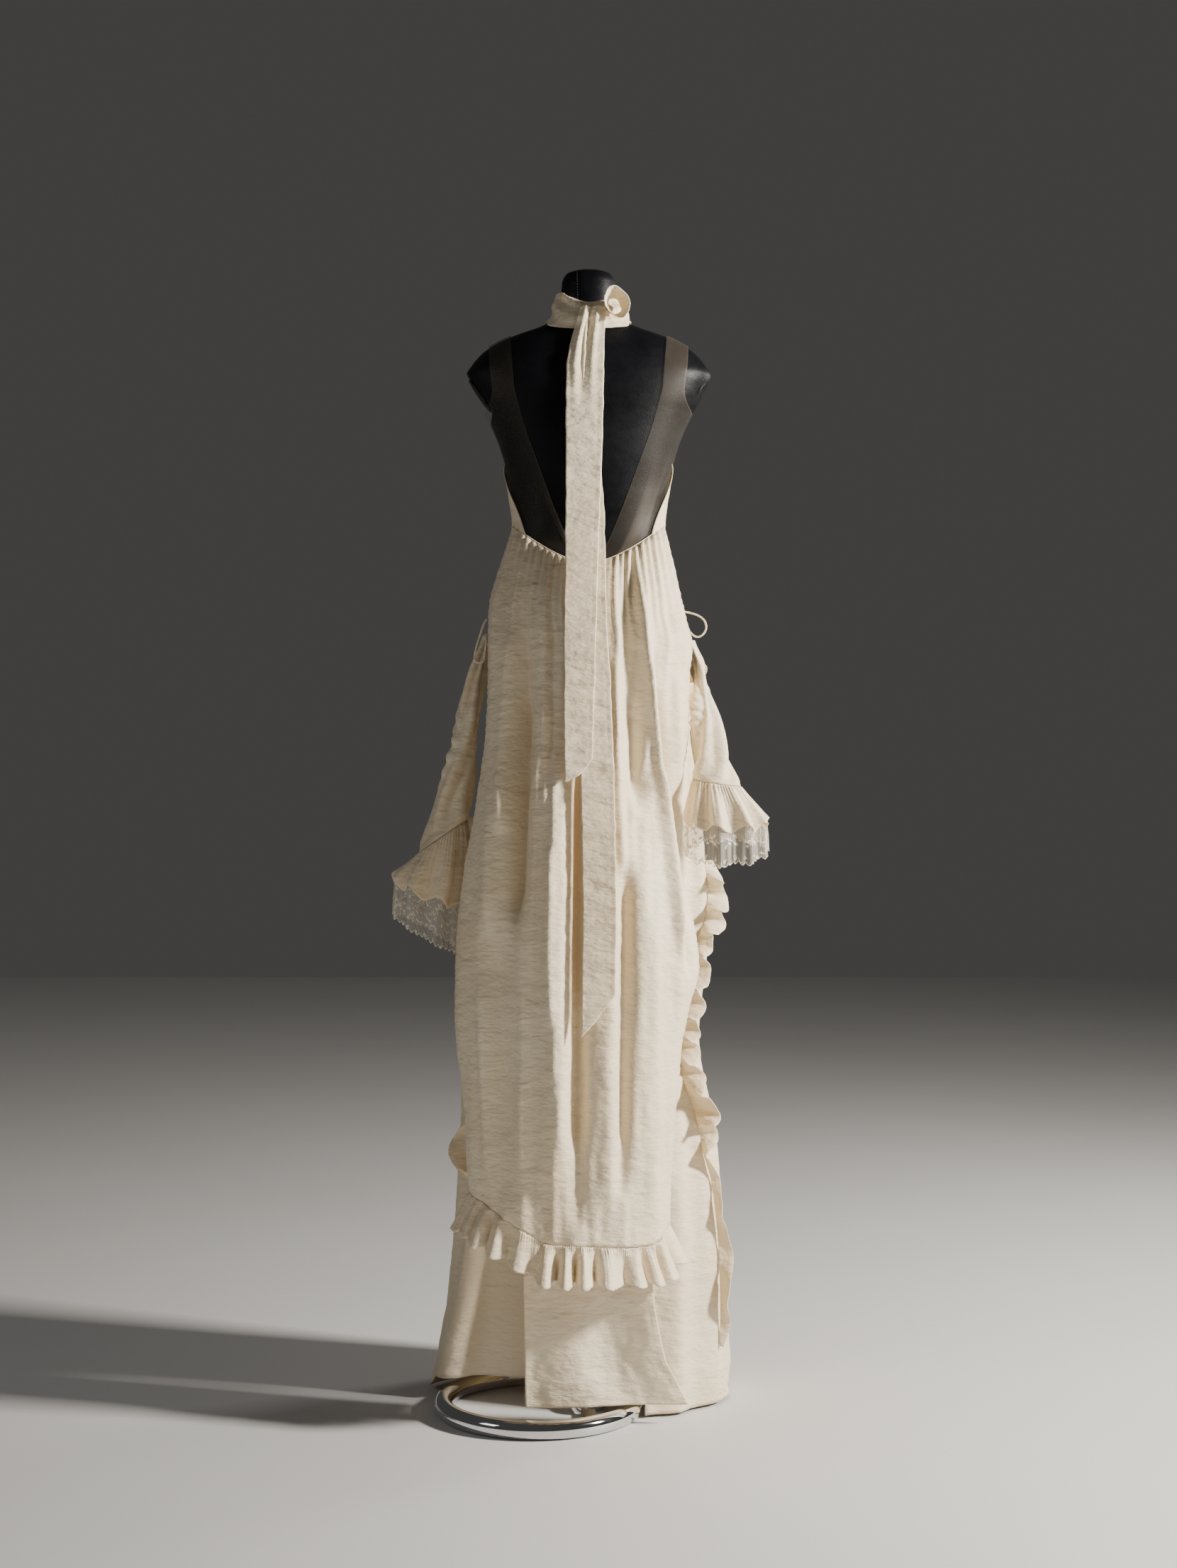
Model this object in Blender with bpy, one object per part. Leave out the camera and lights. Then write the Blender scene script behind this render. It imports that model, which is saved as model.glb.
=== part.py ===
"""Cream halter dress on a black dress form, with its back towards -Y. Metres, +Z up.

The origin is under the form's pole, on the surface that the stand rests on. +X is on the
right when the dress is looked at from behind, and the garment's front faces +Y.
"""

import math

import bpy
from mathutils import Vector

CREAM = (0.80, 0.72, 0.60)
NUDE_MESH = (0.55, 0.46, 0.36)
LACE = (0.82, 0.79, 0.70)
BLACK_LEATHER = (0.012, 0.013, 0.018)
CHROME = (0.75, 0.75, 0.76)

CLOTH = 0.0016
THIN = 0.0011
DOUBLED = 0.0026
SEAM_GAP = 0.0004
SEAT_GAP = 0.0003
ON_FORM = 0.0016
OVER_MESH = 0.0048

# Dress form
SECTION_POWER = 2.3
SHOULDER_Z = 1.66
FORM_COLUMNS = 34
FORM_RINGS = (1.165, 1.172, 1.20, 1.235, 1.27, 1.305, 1.34, 1.375, 1.41, 1.445, 1.475, 1.505, 1.535,
              1.565, 1.595, 1.628, 1.642, 1.665, 1.692, 1.710, 1.728, 1.744, 1.757, 1.767, 1.776,
              1.788, 1.805, 1.845, 1.858, 1.864)
FORM = {
    "height": (1.165, 1.172, 1.20, 1.25, 1.30, 1.35, 1.40, 1.446, 1.50, 1.55, 1.59, 1.628, 1.642,
               1.665, 1.692, 1.710, 1.728, 1.744, 1.757, 1.767, 1.776, 1.788, 1.805, 1.845, 1.858,
               1.864),
    "half": (0.120, 0.138, 0.147, 0.150, 0.147, 0.137, 0.125, 0.119, 0.126, 0.137, 0.150, 0.168,
             0.177, 0.189, 0.200, 0.190, 0.174, 0.150, 0.120, 0.090, 0.068, 0.053, 0.046, 0.0435,
             0.037, 0.022),
    "back": (0.092, 0.106, 0.113, 0.115, 0.108, 0.095, 0.083, 0.076, 0.080, 0.089, 0.094, 0.096,
             0.096, 0.095, 0.090, 0.085, 0.078, 0.070, 0.063, 0.058, 0.054, 0.050, 0.046, 0.041,
             0.034, 0.020),
    "front": (0.078, 0.090, 0.096, 0.098, 0.096, 0.091, 0.086, 0.085, 0.097, 0.112, 0.117, 0.108,
              0.104, 0.096, 0.086, 0.078, 0.070, 0.062, 0.056, 0.053, 0.052, 0.052, 0.053, 0.055,
              0.048, 0.030),
}
ARM_CUT_LOW = (0.1535, 1.631)
ARM_CUT_HIGH = (0.197, 1.693)
ARM_PLATE = {"along": 0.031, "across": 0.038, "thick": 0.004}

# Stand
RING_CENTRE_X = -0.080
RING_RADIUS = 0.157
TUBE_RADIUS = 0.015
RING_SEGMENTS = 36
TUBE_SEGMENTS = 10
BAR_HALF_WIDTH = 0.012
BAR_HALF_LENGTH = 0.128
BAR_LOW = 0.0012
BAR_HIGH = 0.0125
HUB_RADIUS = 0.032
HUB_HEIGHT = 0.024
POLE_RADIUS = 0.0125

# Waist seam behind: a catenary between the side seams
SEAM_LOW_Z = 1.378
SEAM_RISE = 0.068
SEAM_HALF = 0.1235
SEAM_POWER = 1.6

# Back panel, by height: silhouette left and right, depth at the middle and at both edges
BACK_PANEL = {
    "height": (0.30, 0.38, 0.402, 0.49, 0.535, 0.602, 0.667, 0.733, 0.776, 0.85, 0.929, 0.998,
               1.045, 1.114, 1.193, 1.249, 1.297, 1.392, 1.446),
    "left": (-0.182, -0.189, -0.193, -0.197, -0.202, -0.209, -0.213, -0.212, -0.210, -0.204,
             -0.194, -0.181, -0.171, -0.163, -0.162, -0.163, -0.163, -0.139, -0.1245),
    "right": (0.130, 0.131, 0.132, 0.138, 0.143, 0.148, 0.160, 0.176, 0.172, 0.155, 0.139, 0.137,
              0.151, 0.162, 0.162, 0.166, 0.156, 0.137, 0.1255),
    "middle": (-0.176, -0.176, -0.176, -0.177, -0.178, -0.179, -0.178, -0.175, -0.174, -0.171,
               -0.167, -0.163, -0.160, -0.154, -0.147, -0.141, -0.132, -0.106, -0.084),
    "edge": (-0.078, -0.072, -0.070, -0.066, -0.064, -0.062, -0.060, -0.058, -0.058, -0.056,
             -0.052, -0.047, -0.042, -0.034, -0.028, -0.026, -0.022, -0.016, -0.010),
}
BACK_HEM = {
    "across": (-0.187, -0.165, -0.134, -0.108, -0.090, -0.064, -0.039, 0.0, 0.058, 0.088, 0.114,
               0.129, 0.133),
    "height": (0.376, 0.366, 0.346, 0.333, 0.320, 0.308, 0.309, 0.306, 0.302, 0.301, 0.305, 0.322,
               0.338),
}
# Long folds of the back panel, each with its place across at its top and bottom
FOLDS = (
    # top z, bottom z, x at top, x at bottom, half width, height outwards
    (1.33, 0.78, -0.135, -0.157, 0.014, 0.012),
    (1.37, 0.80, -0.100, -0.116, 0.015, -0.011),
    (1.36, 0.70, -0.072, -0.088, 0.008, 0.006),
    (1.10, 0.36, -0.045, -0.050, 0.027, 0.011),
    (1.12, 0.29, -0.013, -0.020, 0.013, -0.014),
    (1.10, 0.33, 0.020, 0.030, 0.018, 0.008),
    (1.38, 0.98, 0.058, 0.078, 0.012, -0.010),
    (1.40, 0.74, 0.073, 0.150, 0.010, 0.011),
    (1.34, 1.02, 0.118, 0.122, 0.016, -0.007),
    (0.95, 0.40, 0.086, 0.078, 0.024, 0.007),
    (0.80, 0.36, -0.150, -0.128, 0.018, -0.008),
)
GATHERS = 14
GATHER_HEIGHT = 0.0052
GATHER_FADE = 0.075
BACK_COLUMNS = 52
BACK_ROWS = 11

# Frill round the back panel's hem
HEM_FRILL = {"depth": 0.060, "waves": 13, "swing": 0.010, "columns": 56, "rows": 3}
HEM_FLARE = 0.012

# Front skirt: plan of each height from the right edge round the front to the left edge
FRONT_PLAN = (
    # height, then x and y of nine places
    (1.445, ((0.1238, 0.0008), (0.120, 0.036), (0.098, 0.066), (0.056, 0.086), (0.0, 0.090),
             (-0.056, 0.086), (-0.098, 0.066), (-0.120, 0.036), (-0.1238, 0.0008))),
    (1.25, ((0.1565, 0.001), (0.157, 0.050), (0.130, 0.100), (0.070, 0.126), (0.0, 0.133),
            (-0.070, 0.126), (-0.130, 0.100), (-0.157, 0.050), (-0.1565, 0.001))),
    (1.10, ((0.153, -0.008), (0.165, 0.035), (0.146, 0.115), (0.080, 0.148), (0.0, 0.156),
            (-0.080, 0.148), (-0.146, 0.115), (-0.160, 0.050), (-0.153, 0.000))),
    (0.93, ((0.122, -0.032), (0.183, 0.030), (0.166, 0.128), (0.096, 0.176), (0.0, 0.188),
            (-0.096, 0.176), (-0.166, 0.128), (-0.183, 0.050), (-0.140, -0.004))),
    (0.80, ((0.122, -0.035), (0.190, 0.028), (0.176, 0.128), (0.106, 0.188), (0.0, 0.203),
            (-0.106, 0.188), (-0.176, 0.130), (-0.190, 0.050), (-0.140, -0.005))),
    (0.60, ((0.120, -0.040), (0.168, 0.020), (0.188, 0.125), (0.120, 0.202), (0.0, 0.222),
            (-0.120, 0.202), (-0.196, 0.130), (-0.195, 0.045), (-0.135, 0.000))),
    (0.45, ((0.116, -0.050), (0.195, 0.015), (0.205, 0.120), (0.130, 0.206), (0.0, 0.234),
            (-0.125, 0.212), (-0.204, 0.140), (-0.192, 0.050), (-0.125, 0.010))),
    (0.30, ((0.113, -0.056), (0.205, 0.015), (0.222, 0.120), (0.150, 0.215), (0.0, 0.248),
            (-0.132, 0.226), (-0.214, 0.155), (-0.200, 0.055), (-0.118, 0.035))),
    (0.15, ((0.112, -0.058), (0.210, 0.024), (0.234, 0.130), (0.165, 0.225), (0.005, 0.258),
            (-0.136, 0.240), (-0.224, 0.170), (-0.222, 0.065), (-0.118, 0.060))),
    (0.00, ((0.112, -0.056), (0.208, 0.034), (0.243, 0.140), (0.180, 0.238), (0.010, 0.272),
            (-0.140, 0.254), (-0.236, 0.185), (-0.262, 0.075), (-0.118, 0.085))),
)
FRONT_TOP_Z = 1.446
FRONT_HEM_Z = 0.005
OVER_RING_Z = 0.037
FRONT_COLUMNS = 34
FRONT_ROWS = 9
FRONT_WAVES = 8
FRONT_SWING = 0.007

# Panel under the back panel's hem, by height; its top is sewn inside the back panel
CENTRE_PANEL = {
    "height": (0.034, 0.075, 0.110, 0.240, 0.300),
    "left": (-0.100, -0.101, -0.101, -0.103, -0.102),
    "right": (0.160, 0.140, 0.123, 0.101, 0.098),
    "depth": (-0.092, -0.096, -0.100, -0.118, -0.122),
}
CENTRE_FROM, CENTRE_TO = 19, 40
CENTRE_SEAM_ROW = 10
CENTRE_ROWS = 6

# Scarf tails, by height
TAIL_UPPER = {
    "height": (1.026, 1.188, 1.301, 1.363, 1.435, 1.506, 1.614, 1.689, 1.719, 1.760, 1.794),
    "left": (-0.037, -0.038, -0.038, -0.037, -0.037, -0.036, -0.036, -0.035, -0.031, -0.022,
             -0.0125),
    "right": (0.0055, 0.010, 0.0134, 0.0146, 0.017, 0.020, 0.0236, 0.0248, 0.0255, 0.0261, 0.0273),
}
TAIL_UPPER_END = ((0.0, 1.028), (0.52, 1.040), (1.0, 1.066))
TAIL_LOWER = {
    "height": (0.633, 0.700, 0.806, 0.932, 1.037, 1.187, 1.284, 1.363, 1.453, 1.515, 1.600, 1.792),
    "left": (-0.011, -0.010, -0.009, -0.010, -0.0125, -0.016, -0.018, -0.018, -0.018, -0.018,
             -0.018, -0.010),
    "right": (0.042, 0.042, 0.043, 0.042, 0.040, 0.0345, 0.029, 0.027, 0.0254, 0.0214, 0.0200,
              0.0200),
}
TAIL_LOWER_END = ((0.0, 0.633), (0.5, 0.664), (1.0, 0.700))
TAIL_HANG = {
    "height": (0.63, 0.68, 0.74, 0.80, 0.90, 1.00, 1.10, 1.20, 1.30, 1.345, 1.39, 1.44, 1.50, 1.60,
               1.66, 1.70, 1.757, 1.776, 1.794),
    "depth": (-0.195, -0.194, -0.192, -0.190, -0.186, -0.180, -0.168, -0.156, -0.142, -0.128,
              -0.114, -0.1055, -0.1015, -0.0985, -0.0980, -0.0925, -0.0689, -0.0685, -0.0642),
}
TAIL_STEP = 0.0031

# Mesh over the shoulders: turn over the shoulder, then share of the way down to the seam
MESH_OVER = {
    "turn": (30, 60, 90, 120, 150),
    "inner": (0.122, 0.125, 0.126, 0.122, 0.118),
    "outer": (0.158, 0.160, 0.161, 0.160, 0.158),
}
ON_SHOULDER = 0.0026
MESH_TURNS = (150, 132, 116, 104, 96, 90, 84, 76, 64, 48, 32, 16)
MESH_DOWN = {
    "share": (0.0, 0.2, 0.45, 0.7, 0.88, 1.0),
    "inner": (0.118, 0.103, 0.078, 0.052, 0.031, 0.013),
    "outer": (0.153, 0.150, 0.128, 0.111, 0.101, 0.094),
}

# Front bodice: how far round it reaches on each side, measured from the centre front
BODICE = {
    "height": (1.430, 1.460, 1.500, 1.545, 1.600, 1.660, 1.720, 1.748),
    "reach": (134.0, 125.0, 111.0, 88.0, 52.0, 33.0, 24.0, 25.0),
}
BODICE_TOP_Z = 1.742
BODICE_ROWS = 11
BODICE_COLUMNS = 16

# Neck band, by bearing from the centre back, positive to the right
ON_NECK = 0.0020
NECK_BAND = {
    "bearing": (-180, -120, -90, -60, -30, 0, 30, 60, 90, 120, 180),
    "low": (1.747, 1.764, 1.776, 1.773, 1.762, 1.757, 1.762, 1.773, 1.776, 1.764, 1.747),
    "high": (1.803, 1.812, 1.822, 1.824, 1.812, 1.803, 1.808, 1.820, 1.821, 1.812, 1.803),
    "spread": (0.012, 0.012, 0.010, 0.012, 0.011, 0.009, 0.009, 0.012, 0.012, 0.012, 0.012),
}

# Sleeves, cuffs and lace: each section's middle, half sizes, tilt and pitch, top first
SLEEVE_LEFT = (
    # x, y, z, half width, half depth, tilt, pitch
    (-0.1652, 0.016, 1.272, 0.0085, 0.013, 8, 0),
    (-0.1800, 0.014, 1.215, 0.013, 0.017, 12, 0),
    (-0.1960, 0.010, 1.147, 0.019, 0.020, 16, 0),
    (-0.2080, 0.007, 1.065, 0.026, 0.022, 20, 0),
    (-0.2230, 0.004, 0.995, 0.034, 0.024, 26, 0),
    (-0.2373, 0.002, 0.942, 0.048, 0.026, 34, 0),
)
SLEEVE_RIGHT = (
    (0.1660, 0.010, 1.262, 0.0085, 0.012, -8, 0),
    (0.1800, -0.004, 1.205, 0.011, 0.015, -10, 0),
    (0.1890, -0.030, 1.150, 0.016, 0.019, -10, 0),
    (0.1960, -0.046, 1.085, 0.028, 0.023, -9, 0),
    (0.2060, -0.060, 1.029, 0.0385, 0.025, -8, 6),
)
CUFF_LEFT = (
    (-0.2385, 0.002, 0.940, 0.048, 0.026, 34, 0),
    (-0.2515, 0.001, 0.890, 0.057, 0.037, 4, 4),
    (-0.2625, 0.000, 0.848, 0.0605, 0.041, -22, 8),
)
CUFF_RIGHT = (
    (0.2062, -0.060, 1.0282, 0.0385, 0.025, -8, 6),
    (0.2140, -0.062, 0.996, 0.055, 0.034, -5, 12),
    (0.2208, -0.064, 0.966, 0.0665, 0.037, -3, 20),
)
LACE_LEFT_END = (-0.2670, 0.000, 0.780, 0.063, 0.042, -30, 8)
LACE_RIGHT_END = (0.2225, -0.066, 0.914, 0.068, 0.038, 2, 34)
CUFF_WAVES = {"left": 9, "right": 10}
CUFF_SWING = 0.006
SLEEVE_COLUMNS = 14
CUFF_COLUMNS = 38
LACE_INSET = 0.0022

# Ruffles on the front skirt: share round it of the sewn edge, and reach outwards
CASCADE_RIGHT = {
    "height": (0.100, 0.144, 0.250, 0.372, 0.432, 0.499, 0.560, 0.620, 0.695, 0.765, 0.812, 0.864,
               0.900),
    "place": (0.125, 0.125, 0.125, 0.115, 0.100, 0.090, 0.075, 0.070, 0.080, 0.095, 0.115, 0.125,
              0.125),
    "reach": (0.006, 0.022, 0.024, 0.016, 0.022, 0.056, 0.045, 0.042, 0.048, 0.030, 0.040, 0.036,
              0.014),
}
CASCADE_LEFT = {
    "height": (0.370, 0.392, 0.418, 0.452, 0.520, 0.640, 0.760, 0.845, 0.900, 0.970),
    "place": (0.875, 0.875, 0.875, 0.875, 0.875, 0.865, 0.855, 0.850, 0.850, 0.850),
    "reach": (0.010, 0.036, 0.046, 0.018, 0.010, 0.012, 0.014, 0.046, 0.052, 0.042),
}
SIDE_FRILL = {
    "height": (1.115, 1.130, 1.180, 1.215, 1.235),
    "place": (0.165, 0.165, 0.165, 0.165, 0.165),
    "reach": (0.044, 0.052, 0.040, 0.044, 0.014),
}
CLOSE_PITCH = 0.031
OPEN_PITCH = 0.085
PITCH_CHANGE_Z = 0.45
CASCADE_SWING = 0.0085
FRILL_STAND = 0.0021

# Drawcords, by hand: both ends meet the skirt's side
CORD_RADIUS = 0.0015
CORD_SIDES = 8
CORD_RIGHT = ((0.1562, -0.036, 1.3050), (0.1650, -0.0365, 1.3030), (0.1780, -0.037, 1.2985),
              (0.1875, -0.038, 1.2905), (0.1905, -0.039, 1.2790), (0.1860, -0.040, 1.2690),
              (0.1780, -0.040, 1.2640), (0.1705, -0.039, 1.2660), (0.1645, -0.037, 1.2720))
CORD_LEFT = ((-0.1650, -0.036, 1.2930), (-0.1700, -0.037, 1.2840), (-0.1760, -0.038, 1.2660),
             (-0.1818, -0.039, 1.2470), (-0.1844, -0.040, 1.2290), (-0.1811, -0.041, 1.2234),
             (-0.1751, -0.041, 1.2221), (-0.1699, -0.041, 1.2254), (-0.1685, -0.040, 1.2310),
             (-0.1672, -0.039, 1.2440), (-0.1655, -0.038, 1.2580))


def clear_scene():
    for thing in list(bpy.data.objects):
        bpy.data.objects.remove(thing, do_unlink=True)


def make_material(name, colour, roughness, metallic=0.0):
    found = bpy.data.materials.get(name)
    if found:
        return found
    made = bpy.data.materials.new(name)
    made.use_nodes = True
    shader = made.node_tree.nodes["Principled BSDF"]
    shader.inputs["Base Color"].default_value = (*colour, 1.0)
    shader.inputs["Roughness"].default_value = roughness
    shader.inputs["Metallic"].default_value = metallic
    return made


def cream():
    return make_material("cream_cloth", CREAM, 0.75)


def sheer():
    return make_material("nude_mesh", NUDE_MESH, 0.8)


def lace():
    return make_material("ivory_lace", LACE, 0.8)


def leather():
    return make_material("black_leather", BLACK_LEATHER, 0.35)


def chrome():
    return make_material("chrome", CHROME, 0.08, 1.0)


def mix(a, b, share):
    return a + (b - a) * share


def ease(share):
    """Smooth step from 0 to 1."""
    share = min(max(share, 0.0), 1.0)
    return share * share * (3 - 2 * share)


def through(keys, values, at):
    """Value on a smooth curve through the rows, with no overshoot, level past both ends."""
    if at <= keys[0]:
        return values[0]
    if at >= keys[-1]:
        return values[-1]
    low = 0
    while keys[low + 1] < at:
        low += 1
    steps = [(values[k + 1] - values[k]) / (keys[k + 1] - keys[k]) for k in range(len(keys) - 1)]

    def slope(k):
        if k in (0, len(keys) - 1):
            return steps[min(k, len(steps) - 1)]
        before, after = steps[k - 1], steps[k]
        if before * after <= 0:
            return 0.0
        return 2 * before * after / (before + after)

    width = keys[low + 1] - keys[low]
    t = (at - keys[low]) / width
    start, end = values[low], values[low + 1]
    return (start * (1 + 2 * t) * (1 - t) ** 2 + width * slope(low) * t * (1 - t) ** 2
            + end * t * t * (3 - 2 * t) + width * slope(low + 1) * t * t * (t - 1))


def column(table, name, at, key="height"):
    return through(table[key], table[name], at)


def signed_power(value, power):
    return math.copysign(abs(value) ** power, value)


def add_mesh(name, points, faces, material):
    """Adds one closed body, turned so that its faces point out."""
    volume = 0.0
    for face in faces:
        first = points[face[0]]
        for k in range(1, len(face) - 1):
            volume += first.dot(points[face[k]].cross(points[face[k + 1]]))
    if volume < 0:
        faces = [tuple(reversed(face)) for face in faces]
    mesh = bpy.data.meshes.new(name)
    mesh.from_pydata([tuple(p) for p in points], [], faces)
    mesh.materials.append(material)
    mesh.shade_smooth()
    made = bpy.data.objects.new(name, mesh)
    bpy.context.scene.collection.objects.link(made)
    return made


def moved(rows, out, loop=False):
    """A grid of points moved along its own normals."""
    result = []
    for i, row in enumerate(rows):
        above = rows[max(i - 1, 0)]
        below = rows[min(i + 1, len(rows) - 1)]
        line = []
        for j, point in enumerate(row):
            if loop:
                before, after = row[j - 1], row[(j + 1) % len(row)]
            else:
                before, after = row[max(j - 1, 0)], row[min(j + 1, len(row) - 1)]
            normal = (after - before).cross(below[j] - above[j]).normalized()
            line.append(point + normal * out)
        result.append(line)
    return result


def wall(name, rows, thick, material, loop=False):
    """Closed wall of even thickness on both sides of a grid of points."""
    count_down = len(rows)
    count_across = len(rows[0])
    outer = [point for row in moved(rows, thick / 2, loop) for point in row]
    inner = [point for row in moved(rows, -thick / 2, loop) for point in row]
    shift = len(outer)
    last = count_across if loop else count_across - 1
    faces = []
    for i in range(count_down - 1):
        for j in range(last):
            k = (j + 1) % count_across
            a = i * count_across + j
            b = i * count_across + k
            c = (i + 1) * count_across + k
            d = (i + 1) * count_across + j
            faces.append((a, b, c))
            faces.append((a, c, d))
            faces.append((c + shift, b + shift, a + shift))
            faces.append((d + shift, c + shift, a + shift))
    for j in range(last):
        k = (j + 1) % count_across
        base = (count_down - 1) * count_across
        faces.append((k, j, j + shift, k + shift))
        faces.append((base + j, base + k, base + k + shift, base + j + shift))
    if not loop:
        for i in range(count_down - 1):
            a = i * count_across
            b = (i + 1) * count_across
            faces.append((a, b, b + shift, a + shift))
            end = count_across - 1
            faces.append((b + end, a + end, a + end + shift, b + end + shift))
    return add_mesh(name, outer + inner, faces, material)


def solid(name, rings, material):
    """Closed body through rings of points, with a fan over each end."""
    count = len(rings[0])
    points = [p for ring in rings for p in ring]
    faces = []
    for i in range(len(rings) - 1):
        for j in range(count):
            k = (j + 1) % count
            faces.append((i * count + j, i * count + k, (i + 1) * count + k, (i + 1) * count + j))
    for ring, order in ((0, -1), (len(rings) - 1, 1)):
        centre = len(points)
        points.append(sum(rings[ring], Vector()) / count)
        for j in range(count):
            pair = (ring * count + j, ring * count + (j + 1) % count)
            faces.append((*pair[::order], centre))
    return add_mesh(name, points, faces, material)


def form_size(z, out=0.0):
    """Half width, depth behind and depth in front of the form at a height."""
    return (column(FORM, "half", z) + out, column(FORM, "back", z) + out,
            column(FORM, "front", z) + out)


def round_form(bearing, z, out=0.0):
    """Point of the form's section; the bearing is 0 at the centre back, 90 on the right."""
    half, back, front = form_size(z, out)
    power = 2 / SECTION_POWER
    angle = math.radians(bearing)
    x = half * signed_power(math.sin(angle), power)
    ahead = -signed_power(math.cos(angle), power)
    return Vector((x, ahead * (back if ahead < 0 else front), z))


def on_form(x, z, out, behind=True):
    """Point of the form's surface, moved out, at a place across and a height."""
    half, back, front = form_size(z, out)
    share = min(abs(x) / half, 0.995)
    depth = (1 - share ** SECTION_POWER) ** (1 / SECTION_POWER)
    return Vector((x, -back * depth if behind else front * depth, z))


def shoulder_top(x):
    """Height of the shoulder line at a place across."""
    low, high = 1.70, 1.80
    for _ in range(30):
        middle = (low + high) / 2
        if form_size(middle)[0] > abs(x):
            low = middle
        else:
            high = middle
    return low


def off_form(point, out):
    """Moves a point of the form's surface straight out from it."""
    step = 0.0004

    def level(place):
        half, back, front = form_size(place.z)
        deep = back if point.y < 0 else front
        return (abs(place.x) / half) ** SECTION_POWER + (abs(place.y) / deep) ** SECTION_POWER

    slope = []
    for axis in range(3):
        shift = Vector((0.0, 0.0, 0.0))
        shift[axis] = step
        slope.append(level(point + shift) - level(point - shift))
    return point + Vector(slope).normalized() * out


def over_shoulder(x, turn, out):
    """Point over the shoulder: turn 0 is behind, 90 on the ridge, 180 in front."""
    top = shoulder_top(x)
    z = SHOULDER_Z + (top - SHOULDER_Z) * math.sin(math.radians(turn))
    return off_form(on_form(x, z, 0.0, turn < 90), out)


def seam_height(x):
    """Height of the curved waist seam behind."""
    return SEAM_LOW_Z + SEAM_RISE * min(abs(x) / SEAM_HALF, 1.0) ** SEAM_POWER


def form_torso():
    rings = [[round_form(360 * j / FORM_COLUMNS, z) for j in range(FORM_COLUMNS)]
             for z in FORM_RINGS]
    torso = solid("form_torso", rings, leather())
    for side in (-1, 1):
        cutter = arm_cutter(side)
        cut = torso.modifiers.new("arm_cut", "BOOLEAN")
        cut.operation = "DIFFERENCE"
        cut.object = cutter
    return torso


def arm_frame(side):
    """Middle of the slanted arm cut, its direction up the slant and its outward normal."""
    low = Vector((side * ARM_CUT_LOW[0], 0.0, ARM_CUT_LOW[1]))
    high = Vector((side * ARM_CUT_HIGH[0], 0.0, ARM_CUT_HIGH[1]))
    up = (high - low).normalized()
    out = Vector((side * up.z, 0.0, -side * up.x))
    return (low + high) / 2, up, out


def arm_cutter(side):
    middle, up, out = arm_frame(side)
    reach = (ARM_CUT_HIGH[1] - ARM_CUT_LOW[1]) / up.z / 2
    low = middle - up * reach
    outline = (low, middle + up * reach * 2.2, middle + up * reach * 2.2 + out * 0.1,
               low + out * 0.1 + Vector((0.0, 0.0, -0.01)), low + Vector((side * 0.006, 0, -0.02)))
    rings = [[p + Vector((0.0, y, 0.0)) for p in outline] for y in (-0.15, 0.15)]
    cutter = solid(f"arm_cutter_{'left' if side < 0 else 'right'}", rings, leather())
    cutter.hide_render = True
    cutter.display_type = "WIRE"
    return cutter


def arm_plate(side):
    middle, up, out = arm_frame(side)
    rings = []
    inset = 0.0015
    for level, shrink in ((SEAT_GAP, 0.0), (ARM_PLATE["thick"] - inset, 0.0),
                          (ARM_PLATE["thick"], inset)):
        rings.append([middle + out * level + up * (ARM_PLATE["along"] - shrink) * math.cos(angle)
                      + Vector((0, (ARM_PLATE["across"] - shrink) * math.sin(angle), 0))
                      for angle in (2 * math.pi * k / 24 for k in range(24))])
    solid(f"arm_plate_{'left' if side < 0 else 'right'}", rings, leather())


def stand():
    ring_z = TUBE_RADIUS * math.cos(math.pi / TUBE_SEGMENTS)
    points = []
    faces = []
    for i in range(RING_SEGMENTS):
        around = 2 * math.pi * i / RING_SEGMENTS
        for j in range(TUBE_SEGMENTS):
            turn = 2 * math.pi * (j + 0.5) / TUBE_SEGMENTS
            radius = RING_RADIUS + TUBE_RADIUS * math.sin(turn)
            points.append(Vector((RING_CENTRE_X + radius * math.cos(around),
                                  radius * math.sin(around),
                                  ring_z + TUBE_RADIUS * math.cos(turn))))
            a = i * TUBE_SEGMENTS + j
            b = i * TUBE_SEGMENTS + (j + 1) % TUBE_SEGMENTS
            c = (i + 1) % RING_SEGMENTS * TUBE_SEGMENTS
            faces.append((a, b, c + (j + 1) % TUBE_SEGMENTS, c + j))
    base = add_mesh("stand_base", points, faces, chrome())
    bar_corners = ((-1, -1), (1, -1), (1, 1), (-1, 1))
    bar = solid("bar_tool", [[Vector((sx * BAR_HALF_WIDTH, sy * BAR_HALF_LENGTH, z))
                              for sx, sy in bar_corners] for z in (BAR_LOW, BAR_HIGH)], chrome())
    hub = solid("hub_tool", [disc(HUB_RADIUS, z) for z in (0.0, HUB_HEIGHT)], chrome())
    for tool in (bar, hub):
        tool.hide_render = True
        tool.display_type = "WIRE"
        join = base.modifiers.new("weld", "BOOLEAN")
        join.operation = "UNION"
        join.object = tool
    pole_low = HUB_HEIGHT + SEAT_GAP
    pole_high = FORM["height"][0] - SEAT_GAP
    solid("stand_pole", [disc(POLE_RADIUS, pole_low), disc(POLE_RADIUS, pole_high)], chrome())


def disc(radius, z, sides=24):
    return [Vector((radius * math.cos(2 * math.pi * k / sides),
                    radius * math.sin(2 * math.pi * k / sides), z)) for k in range(sides)]


def fold_height(x, z):
    """Height of the long folds at a place across and a height."""
    total = 0.0
    for top, bottom, x_top, x_bottom, half, height in FOLDS:
        along = (top - z) / (top - bottom)
        if not 0.0 < along < 1.0:
            continue
        middle = mix(x_top, x_bottom, along)
        fade = ease(along / 0.16) * ease((1 - along) / 0.12)
        total += height * fade * math.exp(-((x - middle) / half) ** 2)
    return total


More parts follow.
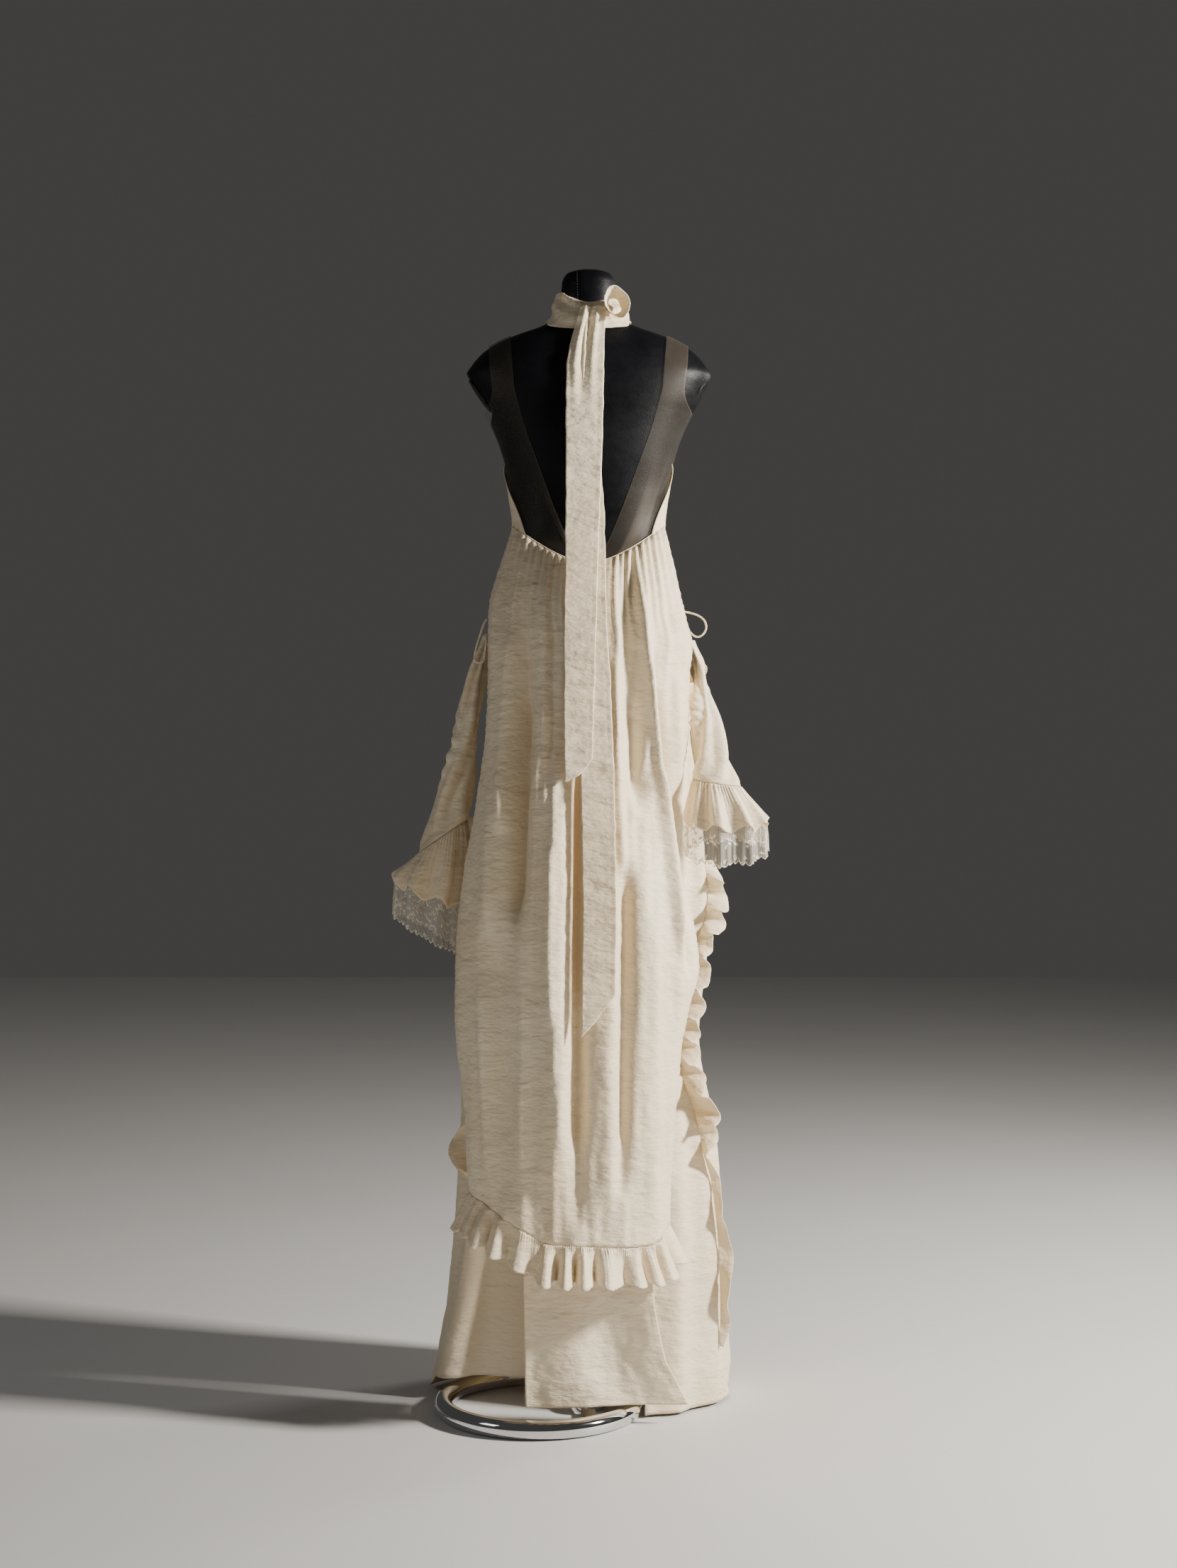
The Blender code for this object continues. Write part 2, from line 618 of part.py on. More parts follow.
def back_heights(u):
    """Top and bottom of the back panel at a share across."""
    swing = math.sin(math.radians(-90 + 180 * u))
    hem_left, hem_right = BACK_HEM["across"][0], BACK_HEM["across"][-1]
    hem_x = mix(hem_left, hem_right, (swing + 1) / 2)
    top_x = SEAM_HALF * signed_power(swing, 2 / SECTION_POWER)
    return seam_height(top_x), column(BACK_HEM, "height", hem_x, "across")


def back_section(swing, z):
    """Place on the back panel's plain section; swing runs from -1 at its left edge to 1."""
    left = column(BACK_PANEL, "left", z)
    right = column(BACK_PANEL, "right", z)
    edge = column(BACK_PANEL, "edge", z)
    middle = column(BACK_PANEL, "middle", z)
    x = (left + right) / 2 + (right - left) / 2 * swing
    deep = max(1 - swing * swing, 0.0) ** 0.43
    return Vector((x, edge + (middle - edge) * deep, z))


def back_point(u, v, out=0.0):
    """Point of the back panel: u from its left edge to its right, v from seam to hem."""
    bearing = math.radians(-90 + 180 * u)
    top, low = back_heights(u)
    z = mix(top, low, v)
    plain = back_section(math.sin(bearing), z)
    gather = math.sin(2 * math.pi * GATHERS * u + 1.3 * math.sin(2 * math.pi * 3.2 * u))
    drop = top - z
    lift = out + GATHER_HEIGHT * (0.5 + 0.5 * gather) * math.exp(-drop / GATHER_FADE)
    seat = round_form(math.degrees(bearing), top, OVER_MESH + 0.0003 + lift * 0.2)
    lift += fold_height(plain.x, z)
    point = plain + Vector((lift * math.sin(bearing) * 0.7, -lift * math.cos(bearing), 0.0))
    return seat.lerp(point, ease(v / 0.10))


def ruffle_swing(s, waves, start=0.0):
    """Uneven wave along a gathered edge, between -1 and 1."""
    turn = 2 * math.pi * (waves * s + 0.33 * math.sin(2 * math.pi * 1.7 * s + start)) + start
    return math.sin(turn) + 0.22 * math.sin(2.1 * turn + 0.8)


def back_hem_ruffle():
    rows = []
    count = HEM_FRILL["columns"]
    for i in range(HEM_FRILL["rows"] + 1):
        share = i / HEM_FRILL["rows"]
        row = []
        for j in range(count + 1):
            u = j / count
            bearing = math.radians(-90 + 180 * u)
            point = back_point(u, 1.0)
            point.z -= CLOTH / 2 + SEAM_GAP + HEM_FRILL["depth"] * share
            swing = ruffle_swing(u, HEM_FRILL["waves"])
            lift = 0.010 * share + HEM_FRILL["swing"] * swing * share ** 0.8
            side = 0.005 * share * ruffle_swing(u, HEM_FRILL["waves"], 1.4)
            spread = (0.008 + HEM_FLARE * max(1 - u / 0.12, 0.0)) * share
            point.x += (lift + spread) * math.sin(bearing) + side * math.cos(bearing)
            point.y -= lift * math.cos(bearing)
            row.append(point)
        rows.append(row)
    wall("back_hem_ruffle", rows, CLOTH, cream())


def front_plan(u, z):
    """Place round the front skirt's plan at a height, smooth between the tabled rows."""
    heights = [row[0] for row in FRONT_PLAN][::-1]
    stations = len(FRONT_PLAN[0][1])
    keys = [k / (stations - 1) for k in range(stations)]
    at = []
    for axis in (0, 1):
        line = [through(heights, [row[1][k][axis] for row in FRONT_PLAN][::-1], z)
                for k in range(stations)]
        at.append(catmull(keys, line, u))
    return Vector((at[0], at[1], z))


def catmull(keys, values, at):
    """Value on a round curve through evenly spaced rows."""
    last = len(keys) - 1
    place = min(max(at, 0.0), 1.0) * last
    low = min(int(place), last - 1)
    t = place - low
    p1, p2 = values[low], values[low + 1]
    p0 = values[low - 1] if low else 2 * p1 - p2
    p3 = values[low + 2] if low + 2 <= last else 2 * p2 - p1
    return 0.5 * (2 * p1 + (p2 - p0) * t + (2 * p0 - 5 * p1 + 4 * p2 - p3) * t * t
                  + (3 * p1 - p0 - 3 * p2 + p3) * t ** 3)


def front_hem(u):
    """Height of the front skirt's hem: it rides over the stand's ring at the left end."""
    return mix(FRONT_HEM_Z, OVER_RING_Z, ease((u - 0.80) / 0.06))


def front_point(u, v, out=0.0):
    """Point of the front skirt: u from its right edge round to its left, v waist to hem."""
    z = mix(FRONT_TOP_Z, front_hem(u), v)
    ahead = front_plan(min(u + 0.01, 1.0), z) - front_plan(max(u - 0.01, 0.0), z)
    normal = Vector((ahead.y, -ahead.x, 0.0)).normalized()
    wave = math.sin(2 * math.pi * FRONT_WAVES * u + 1.1 * math.sin(2 * math.pi * 2.3 * u))
    lift = out + FRONT_SWING * wave * ease(v / 0.5) * ease(u / 0.06) * ease((1 - u) / 0.06)
    return front_plan(u, z) + normal * lift


def front_grid():
    """Points of the front skirt, row by row from its waist to its hem."""
    rows = []
    for i in range(FRONT_ROWS + 1):
        row = [front_point(j / FRONT_COLUMNS, i / FRONT_ROWS) for j in range(FRONT_COLUMNS + 1)]
        if i == 0:
            for point in row:
                point.z -= SEAM_GAP
        rows.append(row)
    return rows


def on_grid(rows, u, v):
    """Place on a grid's own flat facets at shares across and down."""
    down = min(max(v, 0.0), 0.9999) * (len(rows) - 1)
    across = min(max(u, 0.0), 0.9999) * (len(rows[0]) - 1)
    i, j = int(down), int(across)
    s, t = across - j, down - i
    a, b, c, d = rows[i][j], rows[i][j + 1], rows[i + 1][j + 1], rows[i + 1][j]
    if s > t:
        return a + (b - a) * s + (c - b) * t
    return a + (d - a) * t + (c - d) * s


def front_skirt():
    wall("front_skirt", front_grid(), CLOTH, cream())


def back_grid():
    """Points of the back panel, row by row from its seam to its hem."""
    rows = []
    for i in range(BACK_ROWS + 1):
        v = (i / BACK_ROWS) ** 1.15
        row = [back_point(j / BACK_COLUMNS, v) for j in range(BACK_COLUMNS + 1)]
        if i == 0:
            for point in row:
                point.z -= SEAM_GAP
        rows.append(row)
    return rows


def back_skirt():
    wall("back_skirt", back_grid(), CLOTH, cream())


def centre_panel():
    """Hangs inside the back panel from its deepest folds and swings free of it below."""
    seam = [point.copy() for point in back_grid()[CENTRE_SEAM_ROW][CENTRE_FROM:CENTRE_TO + 1]]
    deepest = max(point.y for point in seam)
    for point in seam:
        point.y = deepest + CLOTH + SEAM_GAP
    low = CENTRE_PANEL["height"][0]
    rows = [seam]
    for i in range(1, CENTRE_ROWS + 1):
        row = []
        for j, top in enumerate(seam):
            u = j / (len(seam) - 1)
            z = mix(top.z, low, i / CENTRE_ROWS)
            x = mix(column(CENTRE_PANEL, "left", z), column(CENTRE_PANEL, "right", z), u)
            fold = 0.005 * math.sin(2 * math.pi * (1.6 * u + 0.2))
            slant = 0.030 * (u - 0.5) * ease((0.30 - z) / 0.25)
            row.append(Vector((x, column(CENTRE_PANEL, "depth", z) + fold + slant, z)))
        rows.append(row)
    wall("centre_panel", rows, CLOTH, cream())


def straight(keys, values, at):
    """Value on straight lines between the rows."""
    low = 0
    while low < len(keys) - 2 and keys[low + 1] < at:
        low += 1
    return mix(values[low], values[low + 1], (at - keys[low]) / (keys[low + 1] - keys[low]))


def tail(name, table, end, off):
    """Hanging end of the scarf, cut aslant; its rows lie at the hang's own heights."""
    count_across = 3
    keys = [k for k, _ in end]
    lows = [z for _, z in end]
    heights = [z for z in reversed(TAIL_HANG["height"]) if z > max(lows) + 0.008] + [0.0]
    rows = []
    for height in heights:
        row = []
        for j in range(count_across + 1):
            u = j / count_across
            z = max(height, through(keys, lows, u))
            x = mix(column(table, "left", z), column(table, "right", z), u)
            depth = straight(TAIL_HANG["height"], TAIL_HANG["depth"], z)
            row.append(Vector((x, depth - off, z)))
        rows.append(row)
    wall(name, rows, DOUBLED, cream())


def mesh_yoke(side):
    rows = []
    count = 6
    for turn in MESH_TURNS:
        inner = column(MESH_OVER, "inner", turn, "turn")
        outer = column(MESH_OVER, "outer", turn, "turn")
        rows.append([over_shoulder(side * mix(inner, outer, j / count), turn, ON_SHOULDER)
                     for j in range(count + 1)])
    count_down = 11
    for i in range(count_down + 1):
        v = i / count_down
        row = []
        for j in range(count + 1):
            u = j / count
            end_x = mix(MESH_DOWN["inner"][-1], MESH_DOWN["outer"][-1], u)
            z = mix(SHOULDER_Z, seam_height(end_x) + SEAM_GAP, v)
            x = mix(column(MESH_DOWN, "inner", v, "share"), column(MESH_DOWN, "outer", v, "share"), u)
            x = min(x, form_size(z)[0] * 0.975, bodice_edge(z) - SEAM_GAP)
            out = mix(ON_SHOULDER, ON_FORM, ease(v / 0.15))
            out = mix(out, OVER_MESH, ease((v - 0.88) / 0.1))
            row.append(off_form(on_form(side * x, z, 0.0), out))
        rows.append(row)
    wall(f"mesh_yoke_{'left' if side < 0 else 'right'}", rows, THIN, sheer())


def bodice_edge(z):
    """Place across of the front bodice's rear edge at a height."""
    if z > 1.54:
        return 1.0
    return round_form(180 - column(BODICE, "reach", z), z).x


def bodice_front():
    rows = []
    for i in range(BODICE_ROWS + 1):
        v = i / BODICE_ROWS
        row = []
        for j in range(BODICE_COLUMNS + 1):
            u = 2 * j / BODICE_COLUMNS - 1
            low = FRONT_TOP_Z
            reach = column(BODICE, "reach", mix(low, BODICE_TOP_Z, v))
            bearing = 180 - u * reach
            foot = round_form(bearing, low, OVER_MESH)
            if foot.y < 0:
                low = seam_height(foot.x)
            z = mix(low + SEAM_GAP, BODICE_TOP_Z, v)
            row.append(round_form(bearing, z, OVER_MESH))
        rows.append(row)
    wall("bodice_front", rows, CLOTH, cream())


def neck_band():
    rows = []
    count = 32
    for i in range(6):
        share = i / 5
        row = []
        for j in range(count):
            bearing = -180 + 360 * j / count
            low = column(NECK_BAND, "low", bearing, "bearing")
            high = column(NECK_BAND, "high", bearing, "bearing")
            spread = column(NECK_BAND, "spread", bearing, "bearing")
            z = mix(low, high, share)
            seat = off_form(round_form(bearing, z), ON_NECK)
            out = spread * (math.sin(math.pi * share) + 0.5 * ease((share - 0.7) / 0.3))
            away = Vector((seat.x, seat.y, 0.0)).normalized()
            crease = 0.0012 * math.sin(math.radians(bearing) * 7 + 5 * share)
            row.append(seat + away * (out + crease))
        rows.append(row)
    wall("neck_band", rows, CLOTH, cream(), loop=True)


def neck_loop():
    """Bow loop right of the centre back: a ribbon turned back on itself."""
    rows = []
    count = 14
    for i in range(4):
        share = i / 3
        row = []
        for j in range(count):
            angle = 2 * math.pi * j / count
            radius_x = 0.0185
            radius_z = 0.0225 - 0.003 * share
            row.append(Vector((0.046 + radius_x * math.cos(angle) + 0.004 * share,
                               -0.0838 + 0.026 * share + 0.003 * math.sin(2 * angle),
                               1.797 + radius_z * math.sin(angle) - 0.006 * math.cos(angle))))
        rows.append(row)
    wall("neck_loop", rows, CLOTH, cream(), loop=True)


def section_ring(section, count, waves=0, swing=0.0, inset=0.0):
    """Ring of points round one section of a sleeve, cuff or lace."""
    x, y, z, half, half_deep, tilt, pitch = section
    side = Vector((math.cos(math.radians(tilt)), 0.0, math.sin(math.radians(tilt))))
    deep = Vector((0.0, math.cos(math.radians(pitch)), math.sin(math.radians(pitch))))
    ring = []
    for k in range(count):
        angle = 2 * math.pi * k / count
        wave = swing * (0.4 + 0.6 * abs(math.sin(angle)))
        wave = wave * math.sin(waves * angle + 0.9 * math.sin(2 * angle)) - inset
        ring.append(Vector((x, y, z)) + side * (half + wave) * math.cos(angle)
                    + deep * (half_deep + wave) * math.sin(angle))
    return ring


def sleeve(name, table):
    wall(name, [section_ring(row, SLEEVE_COLUMNS) for row in table], CLOTH, cream(), loop=True)


def cuff(side, sections, lace_end):
    waves = CUFF_WAVES[side]
    swings = (0.0008, CUFF_SWING * 0.7, CUFF_SWING)
    rows = [section_ring(row, CUFF_COLUMNS, waves, swing) for row, swing in zip(sections, swings)]
    wall(f"cuff_{side}", rows, CLOTH, cream(), loop=True)
    end = section_ring(lace_end, CUFF_COLUMNS, waves, CUFF_SWING, LACE_INSET)
    under = moved(rows, LACE_INSET, True)
    rows = [*under[1:], end]
    wall(f"lace_{side}", rows, THIN, lace(), loop=True)


def pleat_phase(z):
    """Turns of the ruffles' waves down to a height: close above, open below."""
    if z > PITCH_CHANGE_Z:
        return (z - PITCH_CHANGE_Z) / CLOSE_PITCH
    return (z - PITCH_CHANGE_Z) / OPEN_PITCH


def pleat_height(phase):
    """Height at which the ruffles' waves reach a number of turns."""
    return PITCH_CHANGE_Z + phase * (CLOSE_PITCH if phase > 0 else OPEN_PITCH)


def skirt_frill(name, table, per_wave=3.6):
    """Ruffle sewn down the front skirt, standing out from it in waves."""
    highest = pleat_phase(table["height"][-1])
    lowest = pleat_phase(table["height"][0])
    count_down = round((highest - lowest) * per_wave)
    grid = front_grid()
    rows = []
    for j in range(3):
        share = j / 2
        row = []
        for i in range(count_down + 1):
            phase = mix(highest, lowest, i / count_down)
            z = pleat_height(phase)
            u = column(table, "place", z)
            v = (FRONT_TOP_Z - z) / (FRONT_TOP_Z - front_hem(u))
            away = (front_point(u, v, 1.0) - front_point(u, v, 0.0)).normalized()
            base = on_grid(grid, u, v) + away * FRILL_STAND
            along = Vector((-away.y, away.x, 0.0))
            swing = CASCADE_SWING * math.sin(2 * math.pi * phase + 0.8 * math.sin(1.7 * phase))
            row.append(base + away * column(table, "reach", z) * share
                       + along * swing * share)
        rows.append(row)
    wall(name, rows, CLOTH, cream())


def cord(name, route):
    """Round cord on a smooth curve through the route's points."""
    spans = len(route) - 1
    keys = [k / spans for k in range(len(route))]
    count = 2 * spans
    places = [Vector([catmull(keys, [p[axis] for p in route], k / count) for axis in range(3)])
              for k in range(count + 1)]
    rings = []
    for k, place in enumerate(places):
        ahead = (places[min(k + 1, count)] - places[max(k - 1, 0)]).normalized()
        side = ahead.cross(Vector((0.0, 1.0, 0.0))).normalized() * CORD_RADIUS
        rise = side.cross(ahead)
        rings.append([place + side * math.cos(2 * math.pi * j / CORD_SIDES)
                      + rise * math.sin(2 * math.pi * j / CORD_SIDES) for j in range(CORD_SIDES)])
    solid(name, rings, cream())


def build():
    clear_scene()
    form_torso()
    arm_plate(-1)
    arm_plate(1)
    stand()
    neck_band()
    neck_loop()
    tail("tie_tail_upper", TAIL_UPPER, TAIL_UPPER_END, TAIL_STEP)
    tail("tie_tail_lower", TAIL_LOWER, TAIL_LOWER_END, 0.0)
    mesh_yoke(-1)
    mesh_yoke(1)
    bodice_front()
    back_skirt()
    back_hem_ruffle()
    front_skirt()
    centre_panel()
    sleeve("sleeve_left", SLEEVE_LEFT)
    sleeve("sleeve_right", SLEEVE_RIGHT)
    cuff("left", CUFF_LEFT, LACE_LEFT_END)
    cuff("right", CUFF_RIGHT, LACE_RIGHT_END)
    skirt_frill("cascade_right", CASCADE_RIGHT)
    skirt_frill("cascade_left", CASCADE_LEFT)
    skirt_frill("side_frill_right", SIDE_FRILL)
    cord("cord_right", CORD_RIGHT)
    cord("cord_left", CORD_LEFT)


build()
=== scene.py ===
"""Looks of the cream halter dress on its black form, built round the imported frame.

Metres, +Z up. The back of the dress faces -Y, and the camera looks along +Y at it.
"""

import math

import bpy
import numpy as np
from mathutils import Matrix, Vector

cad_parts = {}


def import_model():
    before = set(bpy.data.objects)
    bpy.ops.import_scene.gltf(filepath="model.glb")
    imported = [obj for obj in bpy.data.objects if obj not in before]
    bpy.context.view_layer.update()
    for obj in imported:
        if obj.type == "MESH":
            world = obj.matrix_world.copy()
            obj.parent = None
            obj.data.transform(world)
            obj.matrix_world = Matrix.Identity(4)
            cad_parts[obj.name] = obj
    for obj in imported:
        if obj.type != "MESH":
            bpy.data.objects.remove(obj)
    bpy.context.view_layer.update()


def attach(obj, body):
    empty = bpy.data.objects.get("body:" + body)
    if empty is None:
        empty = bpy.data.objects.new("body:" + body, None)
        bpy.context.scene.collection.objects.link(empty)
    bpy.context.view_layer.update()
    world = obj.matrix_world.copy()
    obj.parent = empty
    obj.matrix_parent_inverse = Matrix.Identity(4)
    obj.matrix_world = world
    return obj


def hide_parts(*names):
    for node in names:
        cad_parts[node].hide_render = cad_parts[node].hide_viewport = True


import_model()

TURN = 2 * math.pi

# Camera: a 50 mm lens on a 36 mm high frame, level, looking at the middle of the back
CAMERA_PLACE = (0.0, -3.564, 1.026)
LENS = 50.0
FRAME_HIGH = 36.0

# Drawcords, by the route of their solids
CORD_DIAMETER = 0.003
CORD_ROUTES = {
    "cord_right": (
        (0.1562, -0.036, 1.3050), (0.1650, -0.0365, 1.3030), (0.1780, -0.037, 1.2985),
        (0.1875, -0.038, 1.2905), (0.1905, -0.039, 1.2790), (0.1860, -0.040, 1.2690),
        (0.1780, -0.040, 1.2640), (0.1705, -0.039, 1.2660), (0.1645, -0.037, 1.2720),
    ),
    "cord_left": (
        (-0.1650, -0.036, 1.2930), (-0.1700, -0.037, 1.2840), (-0.1760, -0.038, 1.2660),
        (-0.1818, -0.039, 1.2470), (-0.1844, -0.040, 1.2290), (-0.1811, -0.041, 1.2234),
        (-0.1751, -0.041, 1.2221), (-0.1699, -0.041, 1.2254), (-0.1685, -0.040, 1.2310),
        (-0.1672, -0.039, 1.2440), (-0.1655, -0.038, 1.2580),
    ),
}

# Dress form
SECTION_POWER = 2.3
SHOULDER_Z = 1.66
FORM = {
    "height": (1.165, 1.172, 1.20, 1.25, 1.30, 1.35, 1.40, 1.446, 1.50, 1.55, 1.59, 1.628, 1.642,
               1.665, 1.692, 1.710, 1.728, 1.744, 1.757, 1.767, 1.776, 1.788, 1.805, 1.845, 1.858,
               1.864),
    "half": (0.120, 0.138, 0.147, 0.150, 0.147, 0.137, 0.125, 0.119, 0.126, 0.137, 0.150, 0.168,
             0.177, 0.189, 0.200, 0.190, 0.174, 0.150, 0.120, 0.090, 0.068, 0.053, 0.046, 0.0435,
             0.037, 0.022),
    "back": (0.092, 0.106, 0.113, 0.115, 0.108, 0.095, 0.083, 0.076, 0.080, 0.089, 0.094, 0.096,
             0.096, 0.095, 0.090, 0.085, 0.078, 0.070, 0.063, 0.058, 0.054, 0.050, 0.046, 0.041,
             0.034, 0.020),
    "front": (0.078, 0.090, 0.096, 0.098, 0.096, 0.091, 0.086, 0.085, 0.097, 0.112, 0.117, 0.108,
              0.104, 0.096, 0.086, 0.078, 0.070, 0.062, 0.056, 0.053, 0.052, 0.052, 0.053, 0.055,
              0.048, 0.030),
}
ARM_CUT_LOW = (0.1535, 1.631)
ARM_CUT_HIGH = (0.197, 1.693)
ARM_PLATE = {"along": 0.031, "across": 0.038, "thick": 0.004}

# Stand
RING_CENTRE_X = -0.080
RING_RADIUS = 0.157
TUBE_RADIUS = 0.015
BAR_HALF_WIDTH = 0.012
BAR_HALF_LENGTH = 0.128
BAR_LOW = 0.0012
BAR_HIGH = 0.0125
HUB_RADIUS = 0.032
HUB_HEIGHT = 0.024
POLE_RADIUS = 0.0125

# Waist seam behind: a catenary between the side seams
SEAM_LOW_Z = 1.378
SEAM_RISE = 0.068
SEAM_HALF = 0.1235
SEAM_POWER = 1.6

# Back panel, by height: silhouette left and right, depth at the middle and at both edges
BACK_PANEL = {
    "height": (0.30, 0.38, 0.402, 0.49, 0.535, 0.602, 0.667, 0.733, 0.776, 0.85, 0.929, 0.998,
               1.045, 1.114, 1.193, 1.249, 1.297, 1.392, 1.446),
    "left": (-0.182, -0.189, -0.193, -0.197, -0.202, -0.209, -0.213, -0.212, -0.210, -0.204,
             -0.194, -0.181, -0.171, -0.163, -0.162, -0.163, -0.163, -0.139, -0.1245),
    "right": (0.130, 0.131, 0.132, 0.138, 0.143, 0.148, 0.160, 0.176, 0.172, 0.155, 0.139, 0.137,
              0.151, 0.162, 0.162, 0.166, 0.156, 0.137, 0.1255),
    "middle": (-0.176, -0.176, -0.176, -0.177, -0.178, -0.179, -0.178, -0.175, -0.174, -0.171,
               -0.167, -0.163, -0.160, -0.154, -0.147, -0.141, -0.132, -0.106, -0.084),
    "edge": (-0.078, -0.072, -0.070, -0.066, -0.064, -0.062, -0.060, -0.058, -0.058, -0.056,
             -0.052, -0.047, -0.042, -0.034, -0.028, -0.026, -0.022, -0.016, -0.010),
}
BACK_HEM = {
    "across": (-0.187, -0.165, -0.134, -0.108, -0.090, -0.064, -0.039, 0.0, 0.058, 0.088, 0.114,
               0.129, 0.133),
    "height": (0.376, 0.366, 0.346, 0.333, 0.320, 0.308, 0.309, 0.306, 0.302, 0.301, 0.305, 0.322,
               0.338),
}
# Long folds of the back panel, each with its place across at its top and bottom
FOLDS = (
    # top z, bottom z, x at top, x at bottom, half width, height outwards
    (1.33, 0.78, -0.135, -0.157, 0.014, 0.012),
    (1.37, 0.80, -0.100, -0.116, 0.015, -0.011),
    (1.36, 0.70, -0.072, -0.088, 0.008, 0.006),
    (1.10, 0.36, -0.045, -0.050, 0.027, 0.011),
    (1.12, 0.29, -0.013, -0.020, 0.013, -0.014),
    (1.10, 0.33, 0.020, 0.030, 0.018, 0.008),
    (1.38, 0.98, 0.058, 0.078, 0.012, -0.010),
    (1.40, 0.74, 0.073, 0.150, 0.010, 0.011),
    (1.34, 1.02, 0.118, 0.122, 0.016, -0.007),
    (0.95, 0.40, 0.086, 0.078, 0.024, 0.007),
    (0.80, 0.36, -0.150, -0.128, 0.018, -0.008),
)
GATHERS = 14
GATHER_HEIGHT = 0.0052
GATHER_FADE = 0.075

# Frill round the back panel's hem
HEM_FRILL = {"depth": 0.060, "waves": 13, "swing": 0.010}
HEM_FLARE = 0.012

# Front skirt: plan of each height from the right edge round the front to the left edge
FRONT_PLAN = (
    # height, then x and y of nine places
    (1.445, ((0.1238, 0.0008), (0.120, 0.036), (0.098, 0.066), (0.056, 0.086), (0.0, 0.090),
             (-0.056, 0.086), (-0.098, 0.066), (-0.120, 0.036), (-0.1238, 0.0008))),
    (1.25, ((0.1565, 0.001), (0.157, 0.050), (0.130, 0.100), (0.070, 0.126), (0.0, 0.133),
            (-0.070, 0.126), (-0.130, 0.100), (-0.157, 0.050), (-0.1565, 0.001))),
    (1.10, ((0.153, -0.008), (0.165, 0.035), (0.146, 0.115), (0.080, 0.148), (0.0, 0.156),
            (-0.080, 0.148), (-0.146, 0.115), (-0.160, 0.050), (-0.153, 0.000))),
    (0.93, ((0.122, -0.032), (0.183, 0.030), (0.166, 0.128), (0.096, 0.176), (0.0, 0.188),
            (-0.096, 0.176), (-0.166, 0.128), (-0.183, 0.050), (-0.140, -0.004))),
    (0.80, ((0.122, -0.035), (0.190, 0.028), (0.176, 0.128), (0.106, 0.188), (0.0, 0.203),
            (-0.106, 0.188), (-0.176, 0.130), (-0.190, 0.050), (-0.140, -0.005))),
    (0.60, ((0.120, -0.040), (0.168, 0.020), (0.188, 0.125), (0.120, 0.202), (0.0, 0.222),
            (-0.120, 0.202), (-0.196, 0.130), (-0.195, 0.045), (-0.135, 0.000))),
    (0.45, ((0.116, -0.050), (0.195, 0.015), (0.205, 0.120), (0.130, 0.206), (0.0, 0.234),
            (-0.125, 0.212), (-0.204, 0.140), (-0.192, 0.050), (-0.125, 0.010))),
    (0.30, ((0.113, -0.056), (0.205, 0.015), (0.222, 0.120), (0.150, 0.215), (0.0, 0.248),
            (-0.132, 0.226), (-0.214, 0.155), (-0.200, 0.055), (-0.118, 0.035))),
    (0.15, ((0.112, -0.058), (0.210, 0.024), (0.234, 0.130), (0.165, 0.225), (0.005, 0.258),
            (-0.136, 0.240), (-0.224, 0.170), (-0.222, 0.065), (-0.118, 0.060))),
    (0.00, ((0.112, -0.056), (0.208, 0.034), (0.243, 0.140), (0.180, 0.238), (0.010, 0.272),
            (-0.140, 0.254), (-0.236, 0.185), (-0.262, 0.075), (-0.118, 0.085))),
)
FRONT_TOP_Z = 1.446
FRONT_HEM_Z = 0.005
OVER_RING_Z = 0.037
FRONT_WAVES = 8
FRONT_SWING = 0.007

# Panel under the back panel's hem, by height; its top is sewn inside the back panel
CENTRE_PANEL = {
    "height": (0.034, 0.075, 0.110, 0.240, 0.300),
    "left": (-0.100, -0.101, -0.101, -0.103, -0.102),
    "right": (0.160, 0.140, 0.123, 0.101, 0.098),
    "depth": (-0.092, -0.096, -0.100, -0.118, -0.122),
}
CENTRE_FROM, CENTRE_TO = 19, 40

# Scarf tails, by height
TAIL_UPPER = {
    "height": (1.026, 1.188, 1.301, 1.363, 1.435, 1.506, 1.614, 1.689, 1.719, 1.760, 1.794),
    "left": (-0.037, -0.038, -0.038, -0.037, -0.037, -0.036, -0.036, -0.035, -0.031, -0.022,
             -0.0125),
    "right": (0.0055, 0.010, 0.0134, 0.0146, 0.017, 0.020, 0.0236, 0.0248, 0.0255, 0.0261, 0.0273),
}
TAIL_UPPER_END = ((0.0, 1.028), (0.52, 1.040), (1.0, 1.066))
TAIL_LOWER = {
    "height": (0.633, 0.700, 0.806, 0.932, 1.037, 1.187, 1.284, 1.363, 1.453, 1.515, 1.600, 1.792),
    "left": (-0.011, -0.010, -0.009, -0.010, -0.0125, -0.016, -0.018, -0.018, -0.018, -0.018,
             -0.018, -0.010),
    "right": (0.042, 0.042, 0.043, 0.042, 0.040, 0.0345, 0.029, 0.027, 0.0254, 0.0214, 0.0200,
              0.0200),
}
TAIL_LOWER_END = ((0.0, 0.633), (0.5, 0.664), (1.0, 0.700))
TAIL_HANG = {
    "height": (0.63, 0.68, 0.74, 0.80, 0.90, 1.00, 1.10, 1.20, 1.30, 1.345, 1.39, 1.44, 1.50, 1.60,
               1.66, 1.70, 1.757, 1.776, 1.794),
    "depth": (-0.195, -0.194, -0.192, -0.190, -0.186, -0.180, -0.168, -0.156, -0.142, -0.128,
              -0.114, -0.1055, -0.1015, -0.0985, -0.0980, -0.0925, -0.0689, -0.0685, -0.0642),
}
TAIL_STEP = 0.0031
TAIL_MIDDLE_X = 0.004
TAIL_COVER = 0.036

